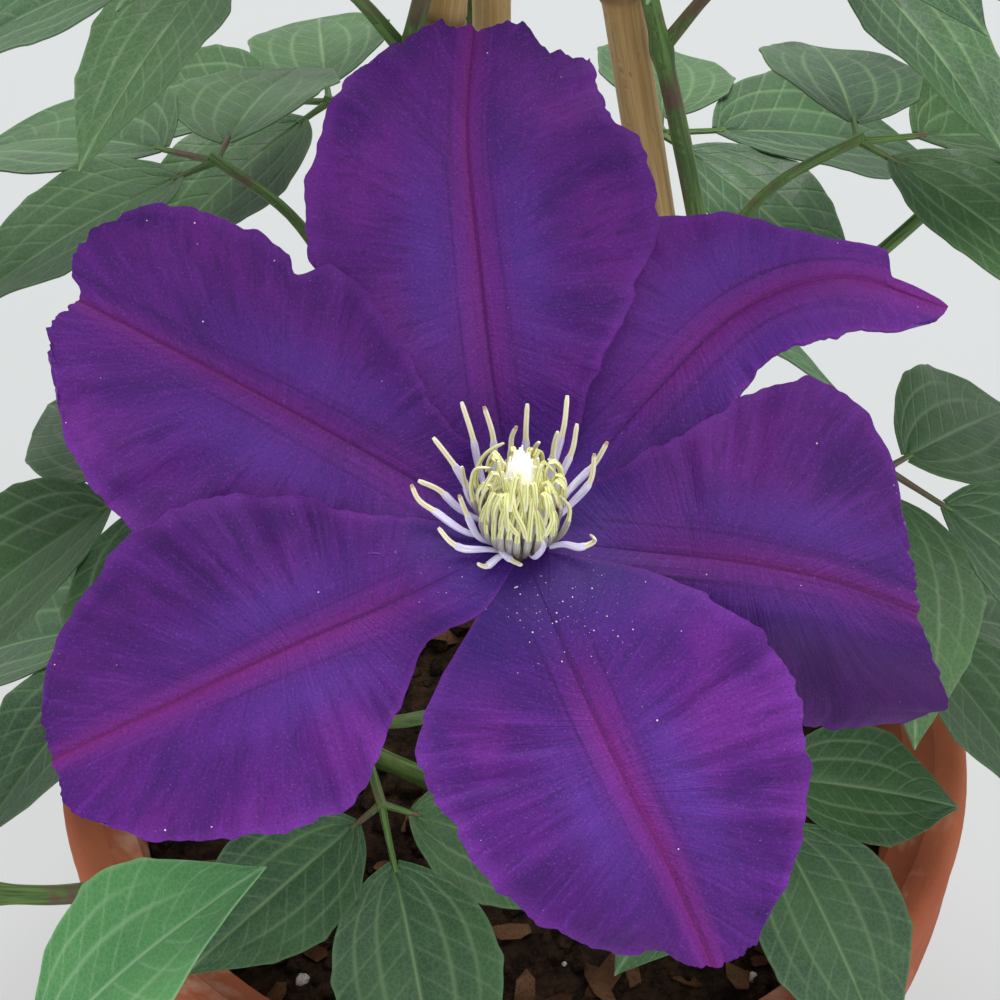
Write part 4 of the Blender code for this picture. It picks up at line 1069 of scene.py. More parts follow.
def bud_finish():
    """Downy green tepal backs with a rib down each, dark seams between them, and violet near the tip."""
    made = Finish("bud_down", 0.62, 0.3, {"Sheen Weight": 0.35, "Sheen Roughness": 0.5})
    turn, rise = made.carried("round along")
    ridge = (turn * (6 * math.pi)).math("COSINE")
    seam = ridge.step(-0.72, -0.98)
    fibres = made.noise((turn * 30, rise * 3, 1), 1, 3, 0.6)
    down = made.noise(made.here(), 2600, 2, 0.7)
    made.paint(
        (fibres.step(0.3, 0.7), (92, 118, 78), (134, 152, 108)),
        (rise.step(0.35, 0.95) * (0.35 + fibres * 0.6), (104, 66, 126)),
        (ridge.step(0.6, 1) * 0.5, (150, 164, 122)),
        (seam * 0.75, (66, 34, 88)),
        (down.step(0.55, 0.8) * 0.35, (204, 208, 190)),
    )
    return made.relief(fibres * 0.4 + down * 0.4 - seam, 0.6, 0.5)


bud_down = bud_finish()
hair_white = speck_finish("hair_white", 0.5, 400, (186, 190, 172), (232, 232, 222))
for name, bud in BUDS.items():
    axes = bloom_axes(*bud["facing"])
    length = bud["length"]
    foot = np.array(bud["tip"], float) - axes[2] * length
    radii = smooth(BUD_STATIONS, BUD_WIDTHS, np.linspace(0, 1, BUD_CELLS[0] + 1))
    radii[0] = 0
    radii[-4:] = BUD_END
    radii = BUD_ASPECT * length * np.maximum(radii, 0)

    def place_bud(u, v):
        turn = math.pi * v
        ridge = 1 + BUD_RIDGE * np.cos(6 * turn) - BUD_SEAM * peak(np.cos(6 * turn) + 1, 0.12)
        r = radii[np.round(u * BUD_CELLS[0]).astype(int)] * ridge
        turn = turn + BUD_SWIRL * u * u
        flat = np.stack([r * np.cos(turn), r * np.sin(turn), length * u], -1)
        return foot + flat @ axes, {"along": u, "round": v}

    held(sheet_piece(name + "_closed", BUD_CELLS, place_bud), "bud", name, bud_down)

    draw = random.Random(name)
    rises = np.array([draw.uniform(0.04, 0.96) for _ in range(BUD_HAIRS)])
    turns = np.array([draw.uniform(-1, 1) for _ in range(BUD_HAIRS)])
    roots = place_bud(rises, turns)[0]
    out = unit(roots - (foot + np.outer(length * rises, axes[2])))
    lean = unit(out + [draw.uniform(0.4, 1.2) * axes[2] for _ in range(BUD_HAIRS)])
    select()
    bpy.ops.mesh.primitive_cone_add(vertices=3, radius1=HAIR_RADIUS * MM, depth=HAIR_LENGTH * MM)
    hairs = strewn(
        bpy.context.object,
        roots + 0.4 * HAIR_LENGTH * lean,
        [(1, 1, draw.uniform(0.6, 1.2)) for _ in range(BUD_HAIRS)],
        [Vector(way).to_track_quat("Z", "Y").to_euler() for way in lean],
    )
    held(joined(name + "_hairs", hairs), "bud", name, hair_white)

# The stems: four slender climbing stems, ribbed and flushed with purple, with their leaf stalks and flower
# stalks. Three twine up a cane and the front one leans out over the rim. A leaf has a leaflet at its end and
# mostly a pair beside it, each a thin blade with five veins from its foot and a few small teeth.
SOIL_TOP = 146
STEM_FOOT = 118
STEM_RADII = (2.2, 2.2, 1.3)
STALK_RADIUS = 1.3
STALK_SAG = 0.06
STALK_GAP = 0.3
STALK_SINK = 0.8
STALK_CELLS = (60, 10)
STEM_SIDES = 12
ROUTE_STEPS = 400
HUB_DEPTH = 6
KNOT_SWELL = 0.35
KNOT_HALF = 2.6
PETIOLE_RADIUS = 1.0
TWINE_RADIUS = 8.0
TWINE_PITCH = 560
TWINE_STEP = 24
CANE_TIE_HEIGHT = 448
CANE_SOIL_RADIUS = 58
CANE_TIE_RADIUS = 4.6
LEAF_STATIONS = (0, 0.05, 0.12, 0.2, 0.34, 0.48, 0.64, 0.78, 0.9, 1)
LEAF_WIDTHS = (0.06, 0.42, 0.7, 0.88, 1, 1, 0.82, 0.53, 0.23, 0)
LEAF_ASPECT = 0.31
LEAF_ARCH = 0.2
LEAF_FOLD = 0.16
LEAF_WAVE = 0.9
LEAF_LOBE = 0.035
LEAF_TOOTH = 0.035
LEAF_THICKNESS = 0.35
LEAF_CELLS = (52, 22)
BRIGHT_LEAF_CELLS = (70, 36)
INNER_VEIN = 0.42
OUTER_VEIN = 0.72
LEAFLET_SINK = 1.2
# The leaflets of a leaf: how far each turns aside, how long its own stalk is and how long it is.
LEAFLETS = ((0, 0.26, 1), (-62, 0.14, 0.82), (62, 0.14, 0.82))
TWINING = {
    "stem_left": {"angle": 210, "crown": (-14, -12), "begin": 204, "end": 410, "turn": 130, "ways": 1},
    "stem_right": {"angle": 330, "crown": (15, -10), "begin": 204, "end": 398, "turn": 50, "ways": -1},
    "stem_back": {"angle": 90, "crown": (2, 17), "begin": 204, "end": 414, "turn": 40, "ways": 1},
}
FRONT_ROUTE = [
    (-38, -32, STEM_FOOT), (-38, -32, SOIL_TOP - 4), (-38, -32, SOIL_TOP + 8), (-60, -52, 182),
    (-90, -76, 206), (-114, -88, 230), (-128, -84, 252),
]
# Each leaf: the height it grows at, its stalk's azimuth, elevation and length, and the end leaflet's length
# and pitch. The last one also says how many leaflets it has and how far they turn from the stalk's azimuth.
LEAVES = {
    "stem_left": [
        (196, 160, 20, 36, 60, -22), (182, 284, 26, 34, 52, -22),
        (256, 195, 26, 32, 56, -24), (304, 142, 28, 36, 58, -12),
        (356, 172, 34, 34, 48, -16), (404, 226, 40, 28, 44, -10),
    ],
    "stem_right": [
        (196, 16, 20, 36, 60, -22), (176, 300, 30, 34, 50, -20),
        (250, 342, 26, 32, 56, -24), (306, 28, 28, 36, 58, -12),
        (352, 12, 34, 34, 50, -16), (392, 318, 40, 28, 44, -10),
    ],
    "stem_back": [
        (208, 56, 20, 40, 60, -24), (208, 122, 20, 40, 60, -24),
        (266, 22, 26, 40, 56, -10), (276, 160, 26, 40, 56, -10),
        (345, 86, 30, 36, 54, -20), (408, 130, 38, 30, 48, -10),
    ],
    "stem_front": [(213, 280, -2, 46, 58, 60, 1, 91)],
}
# What each flower stalk grows from: its stem, the height it leaves at, and its straight run below its
# bloom or bud.
STALKS = {
    "bloom_front": ("stem_left", 190, 26),
    "bloom_left": ("stem_front", 252, 12),
    "bloom_right": ("stem_right", 280, 22),
    "bloom_top": ("stem_back", 414, 14),
    "bud_left": ("stem_front", 236, 10),
    "bud_right": ("stem_right", 372, 14),
    "bud_back": ("stem_back", 325, 12),
}


def cane_point(angle, height):
    """Centre of a cane at a height. The canes lean in and pass each other where they are tied."""
    run = (CANE_TIE_HEIGHT - height) * CANE_SOIL_RADIUS / (CANE_TIE_HEIGHT - SOIL_TOP)
    a = math.radians(angle)
    return np.array((
        run * math.cos(a) - CANE_TIE_RADIUS * math.sin(a),
        run * math.sin(a) + CANE_TIE_RADIUS * math.cos(a),
        height,
    ))


def twining_route(angle, crown, begin, end, turn, ways):
    """A stem's route: up out of the soil at its crown, out to its cane, and round it in a loose coil."""
    points = [np.array((*crown, z)) for z in (STEM_FOOT, SOIL_TOP - 4, SOIL_TOP + 8)]
    steps = round((end - begin) / TWINE_STEP)
    coil = []
    for height in np.linspace(begin, end, steps + 1):
        side = math.radians(turn + ways * 360 * (height - begin) / TWINE_PITCH)
        coil.append(cane_point(angle, height) + TWINE_RADIUS * np.array((math.cos(side), math.sin(side), 0)))
    return points + [0.4 * points[-1] + 0.6 * coil[0] + np.array((0, 0, -5))] + coil


def level(route, height):
    """The point of a route at a height."""
    line = along(route, np.linspace(0, 1, ROUTE_STEPS))
    return line[np.argmax(line[:, 2] >= height)] if line[-1, 2] >= height else line[-1]


def green_rod(route, radii, cells, knots=()):
    """A stem or stalk: ribbed, with a swelling at each of the heights of its knots."""
    stations = np.linspace(0, 1, ROUTE_STEPS)
    line = along(route, stations)

    def half(t):
        radius = np.interp(t, np.linspace(0, 1, len(radii)), radii)
        height = np.interp(t, stations, line[:, 2])
        for knot in knots:
            radius = radius * (1 + KNOT_SWELL * peak(height - knot, KNOT_HALF))
        return radius

    return rod_piece("stalk", route, half, cells)


def leaf_piece(base, ahead, up, length, seed, cells):
    """One leaflet's blade, from the end of its own short stalk to its tip."""
    draw = random.Random(seed)
    phases = [draw.uniform(0, 6.28) for _ in range(3)]
    tint = draw.random()
    up = unit(up - ahead * np.dot(up, ahead))
    side = np.cross(ahead, up)

    def place_leaf(u, v):
        edge = np.abs(v)
        bow = np.sin(math.pi * u)
        teeth = 1 + LEAF_TOOTH * np.maximum(np.sin(26 * u + phases[0] + (v > 0)), 0) ** 3 * edge**8
        half = LEAF_ASPECT * length * smooth(LEAF_STATIONS, LEAF_WIDTHS, u) * teeth
        lobe = LEAF_LOBE * length * edge**2 * (1 - fade(u, 0, 0.12))
        spine = base + np.outer(length * u, ahead) - np.outer(LEAF_ARCH * length * u * u, up)
        rise = LEAF_FOLD * half * edge**1.4 - 0.5 * peak(v, 0.06) * fade(u, 1, 0.7)
        rise += LEAF_WAVE * v * np.sin(5.2 * u + phases[1]) * bow
        rise += 0.5 * edge**3 * np.sin(15 * u + phases[2] + 2 * (v > 0)) * bow
        veins = peak(edge - INNER_VEIN, 0.09) * fade(u, 0.95, 0.5)
        rise -= 0.22 * veins - 0.16 * np.sin(30 * u + 9 * edge) * edge * (1 - edge) * 2
        points = spine + side * (v * half)[:, None] + up * rise[:, None] - ahead * lobe[:, None]
        return points, {"along": u, "across": v, "far": u * length, "aside": v * half, "tint": tint + 0 * u}

    return sheet_piece("leaf", cells, place_leaf)


def leaf_parts(seed, cells, root, azimuth, elevation, petiole, length, pitch, leaflets=3, turn=0):
    """A leaf: its stalks, and its one or three blades."""
    end = root + petiole * toward(azimuth, elevation)
    knee = root + 0.5 * petiole * toward(azimuth, elevation + 16)
    ahead = toward(azimuth + turn, pitch)
    up = np.cross(ahead, toward(azimuth + turn + 90, 0))
    across = np.cross(ahead, up)
    stalks = [green_rod([root, knee, end], (1.4 * PETIOLE_RADIUS, PETIOLE_RADIUS, PETIOLE_RADIUS), (16, 8))]
    inside = end - LEAFLET_SINK * toward(azimuth, elevation)
    blades = []
    for number, (spread, foot, share) in enumerate(LEAFLETS[:leaflets]):
        a = math.radians(spread)
        away = unit(math.cos(a) * ahead + math.sin(a) * across - 0.06 * up)
        tip = inside + away * (foot * length + 0.6)
        stalks.append(green_rod([inside, 0.5 * (inside + tip), tip], (0.85, 0.65, 0.6), (8, 6)))
        base = inside + away * (foot * length)
        blades.append(leaf_piece(base, away, up, length * share, seed + number, cells))
    return stalks, blades


def leaf_finish(name, dark, light, vein, glow):
    """Green blade: paler veins from its foot, side veins and a fine net between them, and uneven colour."""
    made = Finish(name, 0.45, 0.4, {"Coat Weight": 0.05})
    share, across, far, aside, tint = made.carried("along across far aside tint")
    edge = abs(across)
    middle = abs(aside).bell(0, 0.42)
    inner = (edge - INNER_VEIN).bell(0, 0.035) * share.step(0.92, 0.5)
    outer = (edge - OUTER_VEIN).bell(0, 0.03) * share.step(0.75, 0.3)
    sides = inner + outer
    ribs = ((share * 9 - edge * 2.4).math("FRACT") - 0.5).bell(0, 0.07) * edge.step(0.02, 0.1)
    sockets = {"Vector": made.point(far, aside), "Scale": 0.9}
    net = made.node("TexVoronoi", {"feature": "DISTANCE_TO_EDGE"}, sockets).step(0.12, 0.02)
    fine = made.noise(made.here(), 900, 2, 0.6)
    made.paint(
        (made.noise(made.here(), 45, 3, 0.55).step(0.3, 0.7), dark, light),
        (tint * 0.5, glow),
        (net * 0.17 + ribs * 0.25, vein),
        (middle * 0.85 + sides * 0.5, vein),
        (edge.step(0.93, 1) * 0.3, vein),
        (fine.step(0.62, 0.8) * 0.2, vein),
    )
    made.set("Roughness", 0.4 + fine * 0.25)
    return made.relief(fine * 0.25 - middle * 0.8 - sides * 0.7 - ribs * 0.4, 0.6, 0.5)


def flower_stalk(route, height, centre, arriving, depth, bow):
    """A flower stalk, from a height on a stem's route into the back of its bloom or bud."""
    end = np.asarray(centre, float) - arriving * (depth + STALK_GAP)
    below = end - arriving * bow
    start = level(route, height)
    middle = 0.5 * (start + below) - np.array((0, 0, STALK_SAG)) * np.linalg.norm(below - start)
    return green_rod([start, middle, below, end + arriving * STALK_SINK], (STALK_RADIUS,) * 2, STALK_CELLS)


leaf_green = leaf_finish("leaf_green", (34, 66, 42), (54, 92, 52), (112, 140, 96), (70, 104, 50))
leaf_under = leaf_finish("leaf_under", (92, 122, 84), (110, 138, 96), (142, 162, 122), (104, 128, 84))
leaf_bright = leaf_finish("leaf_bright", (60, 124, 64), (78, 142, 74), (146, 188, 136), (84, 148, 80))
arrivals = {"bloom_front": (HERO_CENTRE, (hero_boss @ hero_axes)[2], HUB_DEPTH)}
for name, bloom in BLOOMS.items():
    arrivals["bloom_" + name] = (bloom["centre"], bloom_axes(*bloom["facing"])[2], HUB_DEPTH)
for name, bud in BUDS.items():
    arrivals[name] = (bud["tip"], bloom_axes(*bud["facing"])[2], bud["length"])
routes = {name: twining_route(**stem) for name, stem in TWINING.items()}
routes["stem_front"] = [np.array(p, float) for p in FRONT_ROUTE]
for rank, (stem, route) in enumerate(routes.items()):
    flowers = {flower: run for flower, (carrier, *run) in STALKS.items() if carrier == stem}
    knots = [leaf[0] for leaf in LEAVES[stem]] + [height for height, _ in flowers.values()]
    stalks = [green_rod(route, STEM_RADII, (24 * len(route), STEM_SIDES), knots)]
    for flower, (height, bow) in flowers.items():
        stalks.append(flower_stalk(route, height, *arrivals[flower], bow))
    bright = stem == "stem_front"
    cells = BRIGHT_LEAF_CELLS if bright else LEAF_CELLS
    blades = []
    for number, (height, *leaf) in enumerate(LEAVES[stem]):
        parts = leaf_parts(100 * rank + 10 * number, cells, level(route, height), *leaf)
        stalks += parts[0]
        blades += parts[1]
    held(joined(stem + "_stalks", stalks), "foliage", stem, stalk_green)
    leaves = joined(stem + "_leaves", blades)
    held(leaves, "foliage", stem, leaf_bright if bright else leaf_green, leaf_under, wall=LEAF_THICKNESS)

# The canes: three lengths of bamboo, dried to tan and sawn off between two joints, so that the top ends are
# hollow. They are pushed into the soil and lean together as a wigwam.
CANE_RADIUS = 3.5
CANE_JOINT_SWELL = 1.14
CANE_FOOT = 100
CANE_TOP = 476
CANE_JOINT_SPACING = 92
CANE_JOINT_ROWS = (-3.4, -2, -1.2, -0.7, -0.3, 0, 0.3, 0.8, 1.5, 2.4, 3.4)
CANE_ROWS = 60
CANE_SIDES = 28
# The sawn end: radius, height above the top and how brown it is; the full brown inside the hollow is painted
# shade.
CANE_END = ((0.93 * CANE_RADIUS, 0, 0.3), (2.1, 0, 0.5), (1.95, -0.5, 1), (1.9, -7, 1), (0, -7.2, 1))
CANE_ANGLES = {"cane_left": 210, "cane_right": 330, "cane_back": 90}
TIE_HEIGHT = 9


def bamboo_finish():
    """Dry bamboo: long fine streaks, brown at the joints and, as painted shade, inside the hollow top, with a
    few dark flecks and a faint gloss.
    """
    made = Finish("bamboo", 0.42, 0.45)
    turn, up, knot = made.carried("round up knot")
    streaks = made.noise((turn * 14, up * 0.03, 3), 1, 3, 0.6)
    patches = made.noise((turn * 1.5, up * 0.02, 7), 1, 3, 0.5)
    flecks = made.noise((turn * 9, up * 0.25, 1), 1, 2, 0.5)
    made.paint(
        (streaks.step(0.3, 0.7), (168, 128, 74), (206, 172, 112)),
        (patches.step(0.5, 0.72) * 0.6, (150, 122, 78)),
        (flecks.step(0.68, 0.76) * 0.7, (92, 62, 36)),
        # The joints' own brown, and painted shade inside the hollow top.
        (knot * 0.75, (112, 80, 46)),
    )
    made.set("Roughness", 0.36 + streaks * 0.25)
    return made.relief(streaks * 0.6 + flecks * 0.3, 0.4, 0.3)


bamboo = bamboo_finish()
for name, angle in CANE_ANGLES.items():
    foot = cane_point(angle, CANE_FOOT)
    top = cane_point(angle, CANE_TOP)
    axis = unit(top - foot)
    side = unit(np.cross(axis, (0, 0, 1)))
    axes = np.array([side, np.cross(axis, side), axis])
    tall = np.linalg.norm(top - foot)
    slant = tall / (CANE_TOP - CANE_FOOT)
    joints = np.arange(SOIL_TOP + 30, CANE_TIE_HEIGHT - TIE_HEIGHT, CANE_JOINT_SPACING) - CANE_FOOT
    joints = joints * slant
    plain = [h for h in np.linspace(0, tall, CANE_ROWS) if all(abs(h - joints) > 4)]
    heights = np.array(sorted(plain + [j + d for j in joints for d in CANE_JOINT_ROWS]))
    gaps = heights[:, None] - joints
    gap = gaps[np.arange(len(gaps)), np.argmin(np.abs(gaps), axis=1)]
    ring = (CANE_JOINT_SWELL - 1) * (peak(gap + 0.9, 0.8) + 0.6 * peak(gap - 1, 0.9))
    radii = CANE_RADIUS * (1 + ring - 0.05 * peak(gap, 0.3) - 0.012 * heights / tall)
    profile = [(0, 0), *zip(radii, heights), *[(r, tall + h) for r, h, _ in CANE_END]]
    # Brown at the joints is the bamboo's own; the brown inside the hollow top is painted shade.
    brown = np.array([0, *peak(gap, 1.6), *[b for _, _, b in CANE_END]])
    cane = turned_piece(name + "_bamboo", profile, CANE_SIDES, foot, axes, knot=brown)
    held(cane, "bamboo", name, bamboo, angle=40)

# The tie: two-ply jute twine, wound four times round the three canes where they cross. It is knotted in
# front, and two short ends hang from the knot.
TWINE_HALF = 1.05
TWINE_SIDES = 10
TIE_TURNS = 4
TIE_STEPS = 36
TIE_FRONT = 270
TIE_PLAY = 0.1
KNOT_OUT = (0, -1.6, 0)
KNOT_WIDTH = 3.2
KNOT_DEPTH = 0.9
KNOT_HEIGHT = 1.9
KNOT_ENDS = (
    ((-1, 0, 0), (-4, -1.6, -0.6), (-6.4, -2.4, -5), (-7, -2, -11)),
    ((1, 0, 0), (4, -1.8, -1), (5.4, -2.8, -5.4), (4.6, -3, -9.4)),
)


def twine_finish():
    """Two plies of jute twisted together, with loose fibres."""
    made = Finish("twine", 0.85, 0.2, {"Sheen Weight": 0.2})
    turn, far = made.carried("round far")
    ply = ((turn * 2 + far * 0.55) * math.pi).math("SINE")
    fibres = made.noise((turn * 4 + far * 1.1, far * 0.2, 5), 2, 3, 0.7)
    made.paint(
        (ply.step(-0.9, 0.6), (104, 76, 46), (178, 144, 98)),
        (fibres.step(0.45, 0.7) * 0.6, (204, 176, 132)),
    )
    return made.relief(abs(ply) + fibres * 0.6, 0.8, 0.6)


def tie_point(turn, height):
    """A point of the twine on its way round the canes."""
    out = np.array((math.cos(turn), math.sin(turn), 0))
    widest = max((cane_point(a, height) for a in CANE_ANGLES.values()), key=lambda c: c @ out)
    return widest + out * (CANE_RADIUS * 1.02 + TIE_PLAY + TWINE_HALF)


def twine_half(t):
    """Half the twine's thickness, all the way."""
    return TWINE_HALF + 0 * t


def frayed_half(t):
    """Half the twine's thickness where it frays at its end."""
    return TWINE_HALF * (1 + 0.25 * fade(t, 0.85, 1))


wound = []
for k in range(TIE_STEPS * TIE_TURNS + 1):
    height = CANE_TIE_HEIGHT + (k / (TIE_STEPS * TIE_TURNS) - 0.5) * (TIE_HEIGHT - 2 * TWINE_HALF)
    wound.append(tie_point(math.radians(TIE_FRONT + 360 / TIE_STEPS * k), height))
knot_at = tie_point(math.radians(TIE_FRONT), CANE_TIE_HEIGHT) + np.array(KNOT_OUT)
loop = []
for a in np.linspace(0, 2 * math.pi, 25):
    deep = -KNOT_DEPTH * math.cos(2 * a) - 0.4
    loop.append(knot_at + np.array((KNOT_WIDTH * math.sin(a), deep, KNOT_HEIGHT * math.sin(2 * a + 0.6))))
parts = [rod_piece("twine", wound, twine_half, (400, TWINE_SIDES))]
parts.append(rod_piece("twine", loop, twine_half, (70, TWINE_SIDES)))
for end in KNOT_ENDS:
    parts.append(rod_piece("twine", [knot_at + np.array(p) for p in end], frayed_half, (30, TWINE_SIDES)))
held(joined("tie_twine", parts), "twine", "cane_tie", twine_finish())

# The pot: terracotta thrown on a wheel and fired, with a deep banded rim, and faint rings from the fingers up
# its wall. Four drain holes go through its floor.
POT_HEIGHT = 165
POT_FOOT_RADIUS = 62
POT_NECK_RADIUS = 90
POT_RIM_RADIUS = 98
POT_RIM_HEIGHT = 34
POT_WALL = 8
POT_FLOOR = 10
POT_RIM_EXTRA = 5
POT_CORNER = 4
POT_SIDES = 128
POT_FOOT = ((0, 0), (30, 0), (59, 0), (60.6, 0.3), (61.6, 1.1), (62, 2.5))
POT_BAND = ((89.4, 128), (90.4, 129.4), (92.2, 130.6), (94, 131), (95.3, 131.6), (96.1, 133), (96.5, 135))
POT_LIP = ((97.9, 162), (97.2, 163.7), (96, 164.7), (94.6, 165), (92.6, 165), (91, 164.6), (90, 163.4))
DRAIN_RADIUS = 5.5
DRAIN_OFFSET = 34
DRAIN_COUNT = 4
DRILL_LENGTH = 30


def pot_inside(height):
    """Radius of the pot's inside at a height."""
    foot = POT_FOOT_RADIUS - POT_WALL
    return foot + (POT_RIM_RADIUS - POT_WALL - POT_RIM_EXTRA - foot) * height / POT_HEIGHT


def pot_swell(turn, height):
    """How uneven the throwing left the wall."""
    rings = 0.0022 * np.sin(height * 0.55 + 1.5 * np.sin(height * 0.09)) + 0.0012 * np.sin(height * 1.3)
    return 1 + rings + 0.0018 * np.sin(2 * turn + 0.7) + 0.0012 * np.sin(5 * turn + height * 0.04)


def terracotta_finish():
    """Fired clay: mottled orange-brown, pale where lime has bloomed, darker towards its foot, and pitted."""
    made = Finish("terracotta", 0.88, 0.25)
    here = made.here()
    height = made.node("SeparateXYZ", (), {0: here}, 2)
    broad = made.noise(here, 16, 4, 0.6)
    blotch = made.noise(here, 42, 4, 0.65, 0.6)
    fine = made.noise(here, 700, 3, 0.65)
    grit = made.noise(here, 1900, 2, 0.6)
    lime = blotch.step(0.52, 0.74) * (height.step(0.1, 0.16) * 0.5 + height.step(0.045, 0.012) * 0.45)
    made.paint(
        (broad.step(0.3, 0.7), (158, 82, 54), (186, 106, 72)),
        (blotch.step(0.5, 0.68) * 0.5, (200, 128, 94)),
        (height.step(0.05, 0) * (0.3 + broad * 0.6), (122, 64, 46)),
        (lime, (222, 196, 176)),
        (fine.step(0.6, 0.8) * 0.3, (120, 58, 40)),
        (grit.step(0.68, 0.8) * 0.35, (216, 158, 128)),
    )
    made.set("Roughness", 0.8 + fine * 0.15)
    return made.relief(fine * 0.6 + grit * 0.4, 0.5, 0.5)


slope = (POT_NECK_RADIUS - POT_FOOT_RADIUS) / (POT_HEIGHT - POT_RIM_HEIGHT)
profile = [
    *POT_FOOT,
    *[(POT_FOOT_RADIUS + slope * z, z) for z in np.linspace(5, 126, 56)],
    *POT_BAND,
    *[(96.5 + 1.5 * s, 135 + 25 * s) for s in np.linspace(0.1, 1, 12)],
    *POT_LIP,
    *[(pot_inside(z), z) for z in np.linspace(162, 14, 30)],
    (pot_inside(POT_FLOOR) - 1.2, 11.2),
    (pot_inside(POT_FLOOR) - POT_CORNER, POT_FLOOR),
    (25, POT_FLOOR),
    (0, POT_FLOOR),
]
pot = turned_piece("pot_terracotta", profile, POT_SIDES, swell=pot_swell)
close_seams(pot, 35)
for k in range(DRAIN_COUNT):
    spot = DRAIN_OFFSET * toward(360 * (k + 0.5) / DRAIN_COUNT, 0) + np.array((0, 0, POT_FLOOR / 2))
    radius, depth = DRAIN_RADIUS * MM, DRILL_LENGTH * MM
    select()
    bpy.ops.mesh.primitive_cylinder_add(vertices=40, radius=radius, depth=depth, location=Vector(spot) * MM)
    drill = bpy.context.object
    hole = pot.modifiers.new("drain", "BOOLEAN")
    hole.operation = "DIFFERENCE"
    hole.object = drill
    select(pot)
    bpy.ops.object.modifier_apply(modifier=hole.name)
    bpy.data.objects.remove(drill)
pot.data.materials.clear()
held(pot, "terracotta", "pot", terracotta_finish(), angle=None)

# The soil: dark potting compost, mounded a little and crumbly, which fills the pot to below its rim. Loose
# crumbs, chips of bark and white grains of perlite lie on it.
SOIL_MOUND = 4
SOIL_ROUGH = 0.8
SOIL_GAP = 0.3
SOIL_SIDES = 200
STEM_CLEAR = 6
LITTER_EDGE = 3
LITTER_TILT = 0.4
LITTER_SIDES = 7
LITTER_RINGS = 5
# Each kind of litter: how many pieces, their least and greatest size, how flat they are, how long they are to
# their width at least and at most, how rough they are, and how far they sink in.
LITTER = {
    "soil_crumbs": (700, (0.8, 2.8), 0.75, (0.8, 1.3), 0.32, 0.1),
    "soil_bark": (80, (1.4, 3.4), 0.28, (1.3, 2.6), 0.2, -0.12),
    "soil_perlite": (110, (0.6, 1.6), 0.85, (0.9, 1.2), 0.22, 0.2),
}


def soil_top(x, y):
    """Height of the soil's surface."""
    share = np.hypot(x, y) / pot_inside(SOIL_TOP)
    rough = 0.8 * np.sin(0.21 * x + 1) * np.sin(0.17 * y + 2) + 0.5 * np.sin(0.52 * x - 0.31 * y)
    rough = rough + 0.35 * np.sin(0.9 * x + 0.7 * y + 1) * np.sin(1.1 * y - 0.4 * x)
    rough = rough + 0.2 * np.sin(2.3 * x) * np.sin(2.1 * y)
    return SOIL_TOP + SOIL_MOUND * (1 - share**2) + SOIL_ROUGH * rough


def soil_finish():
    """Compost: near black when damp, browner on the crumbs' tops."""
    made = Finish("soil", 0.95, 0.15)
    lumps = made.noise(made.here(), 260, 5, 0.7)
    fine = made.noise(made.here(), 1300, 3, 0.7)
    made.paint(
        (lumps.step(0.35, 0.7), (28, 19, 14), (70, 50, 36)),
        (fine.step(0.55, 0.8) * 0.5, (98, 74, 54)),
    )
    return made.relief(lumps + fine * 0.5, 1, 2)


def bark_finish():
    """Bark chips: fibrous, from red-brown to grey-brown."""
    made = Finish("bark", 0.9, 0.2)
    each = made.noise(made.here(), 90, 1)
    fibres = made.noise(made.here(), 1400, 3, 0.7, 1.2)
    made.paint(
        (each.step(0.35, 0.65), (74, 46, 30), (120, 86, 60)),
        (fibres.step(0.45, 0.7) * 0.7, (48, 30, 20)),
    )
    return made.relief(fibres, 0.8, 0.6)


def perlite_finish():
    """Perlite: chalk white, dulled in places by the compost."""
    made = Finish("perlite", 0.9, 0.2)
    stain = made.noise(made.here(), 500, 3, 0.6)
    made.paint((stain.step(0.48, 0.7), (226, 222, 212), (150, 134, 116)))
    return made.relief(stain, 0.6, 0.4)


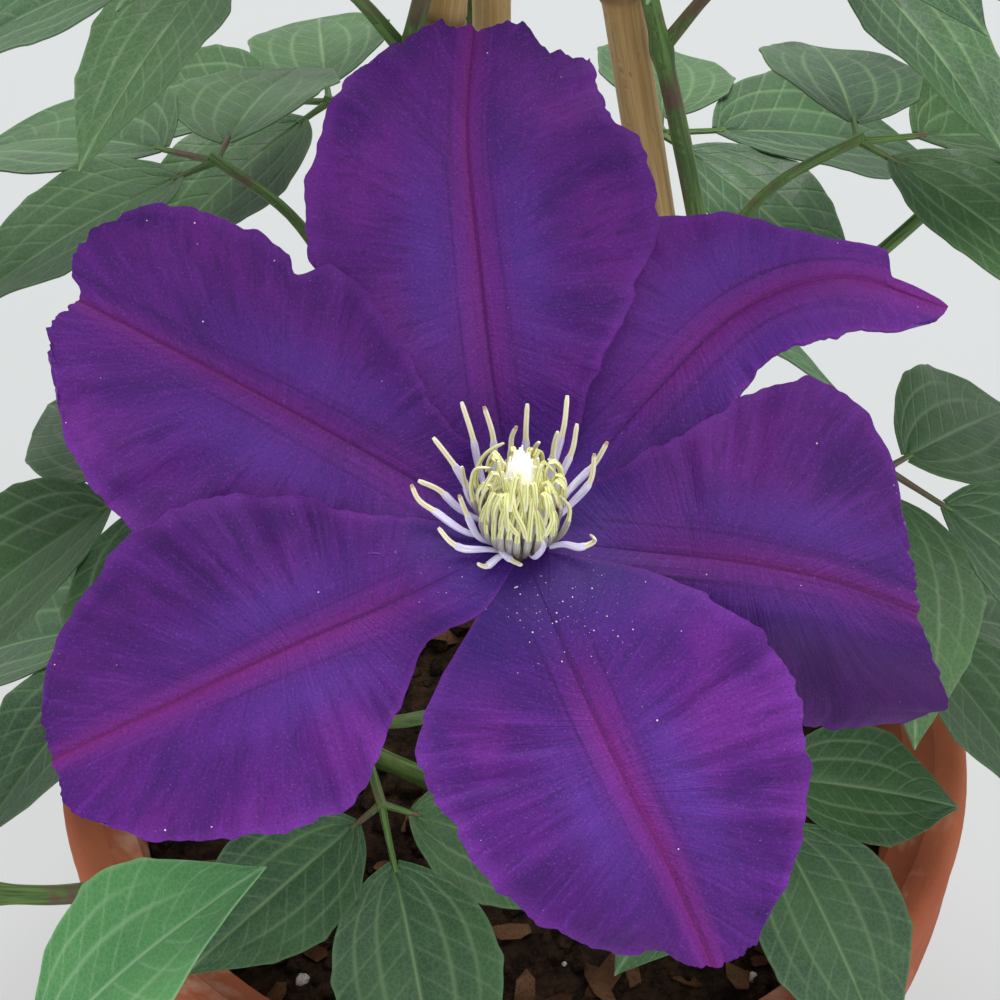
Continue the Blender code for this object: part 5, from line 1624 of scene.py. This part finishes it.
soil_radius = pot_inside(SOIL_TOP) - SOIL_GAP
profile = [(soil_radius * s, SOIL_TOP) for s in np.linspace(0, 1, 84)]
profile += [(pot_inside(z) - SOIL_GAP, z) for z in (135, 100, 60, 14.3)]
foot_height = POT_FLOOR + SOIL_GAP
profile += [(pot_inside(POT_FLOOR) - POT_CORNER - SOIL_GAP, foot_height), (0, foot_height)]
soil = turned_piece("soil_compost", profile, SOIL_SIDES)
points = points_of(soil)
upper = points[:, 2] > (SOIL_TOP - 1) * MM
points[upper, 2] = soil_top(*(points[upper, :2].T / MM)) * MM
soil.data.vertices.foreach_set("co", points.astype(np.float32).ravel())
soil_dark = soil_finish()
held(soil, "soil", "soil", soil_dark)

litter_finishes = {"soil_crumbs": soil_dark, "soil_bark": bark_finish(), "soil_perlite": perlite_finish()}
upright = [route[1][:2] for route in routes.values()]
upright += [cane_point(angle, SOIL_TOP)[:2] for angle in CANE_ANGLES.values()]
for name, (count, (low, high), flat, lengths, rough, sink) in LITTER.items():
    draw = random.Random(name)
    select()
    bpy.ops.mesh.primitive_uv_sphere_add(segments=LITTER_SIDES, ring_count=LITTER_RINGS, radius=MM)
    lump = bpy.context.object
    for point in lump.data.vertices:
        point.co *= 1 + rough * draw.uniform(-1, 1)
    spots = []
    sizes = []
    turns = []
    while len(spots) < count:
        turn = draw.uniform(0, 2 * math.pi)
        out = (soil_radius - LITTER_EDGE) * math.sqrt(draw.random())
        spot = np.array((out * math.cos(turn), out * math.sin(turn)))
        if min(np.linalg.norm(spot - place) for place in upright) < STEM_CLEAR:
            continue
        size = low + (high - low) * draw.random() ** 2
        spots.append((*spot, float(soil_top(*spot)) + size * (0.5 * flat - sink)))
        sizes.append((size * draw.uniform(*lengths), size, size * flat))
        tilts = [draw.uniform(-LITTER_TILT, LITTER_TILT) for _ in range(2)]
        turns.append((*tilts, draw.uniform(0, 2 * math.pi)))
    held(joined(name, strewn(lump, spots, sizes, turns)), "soil", "soil", litter_finishes[name])
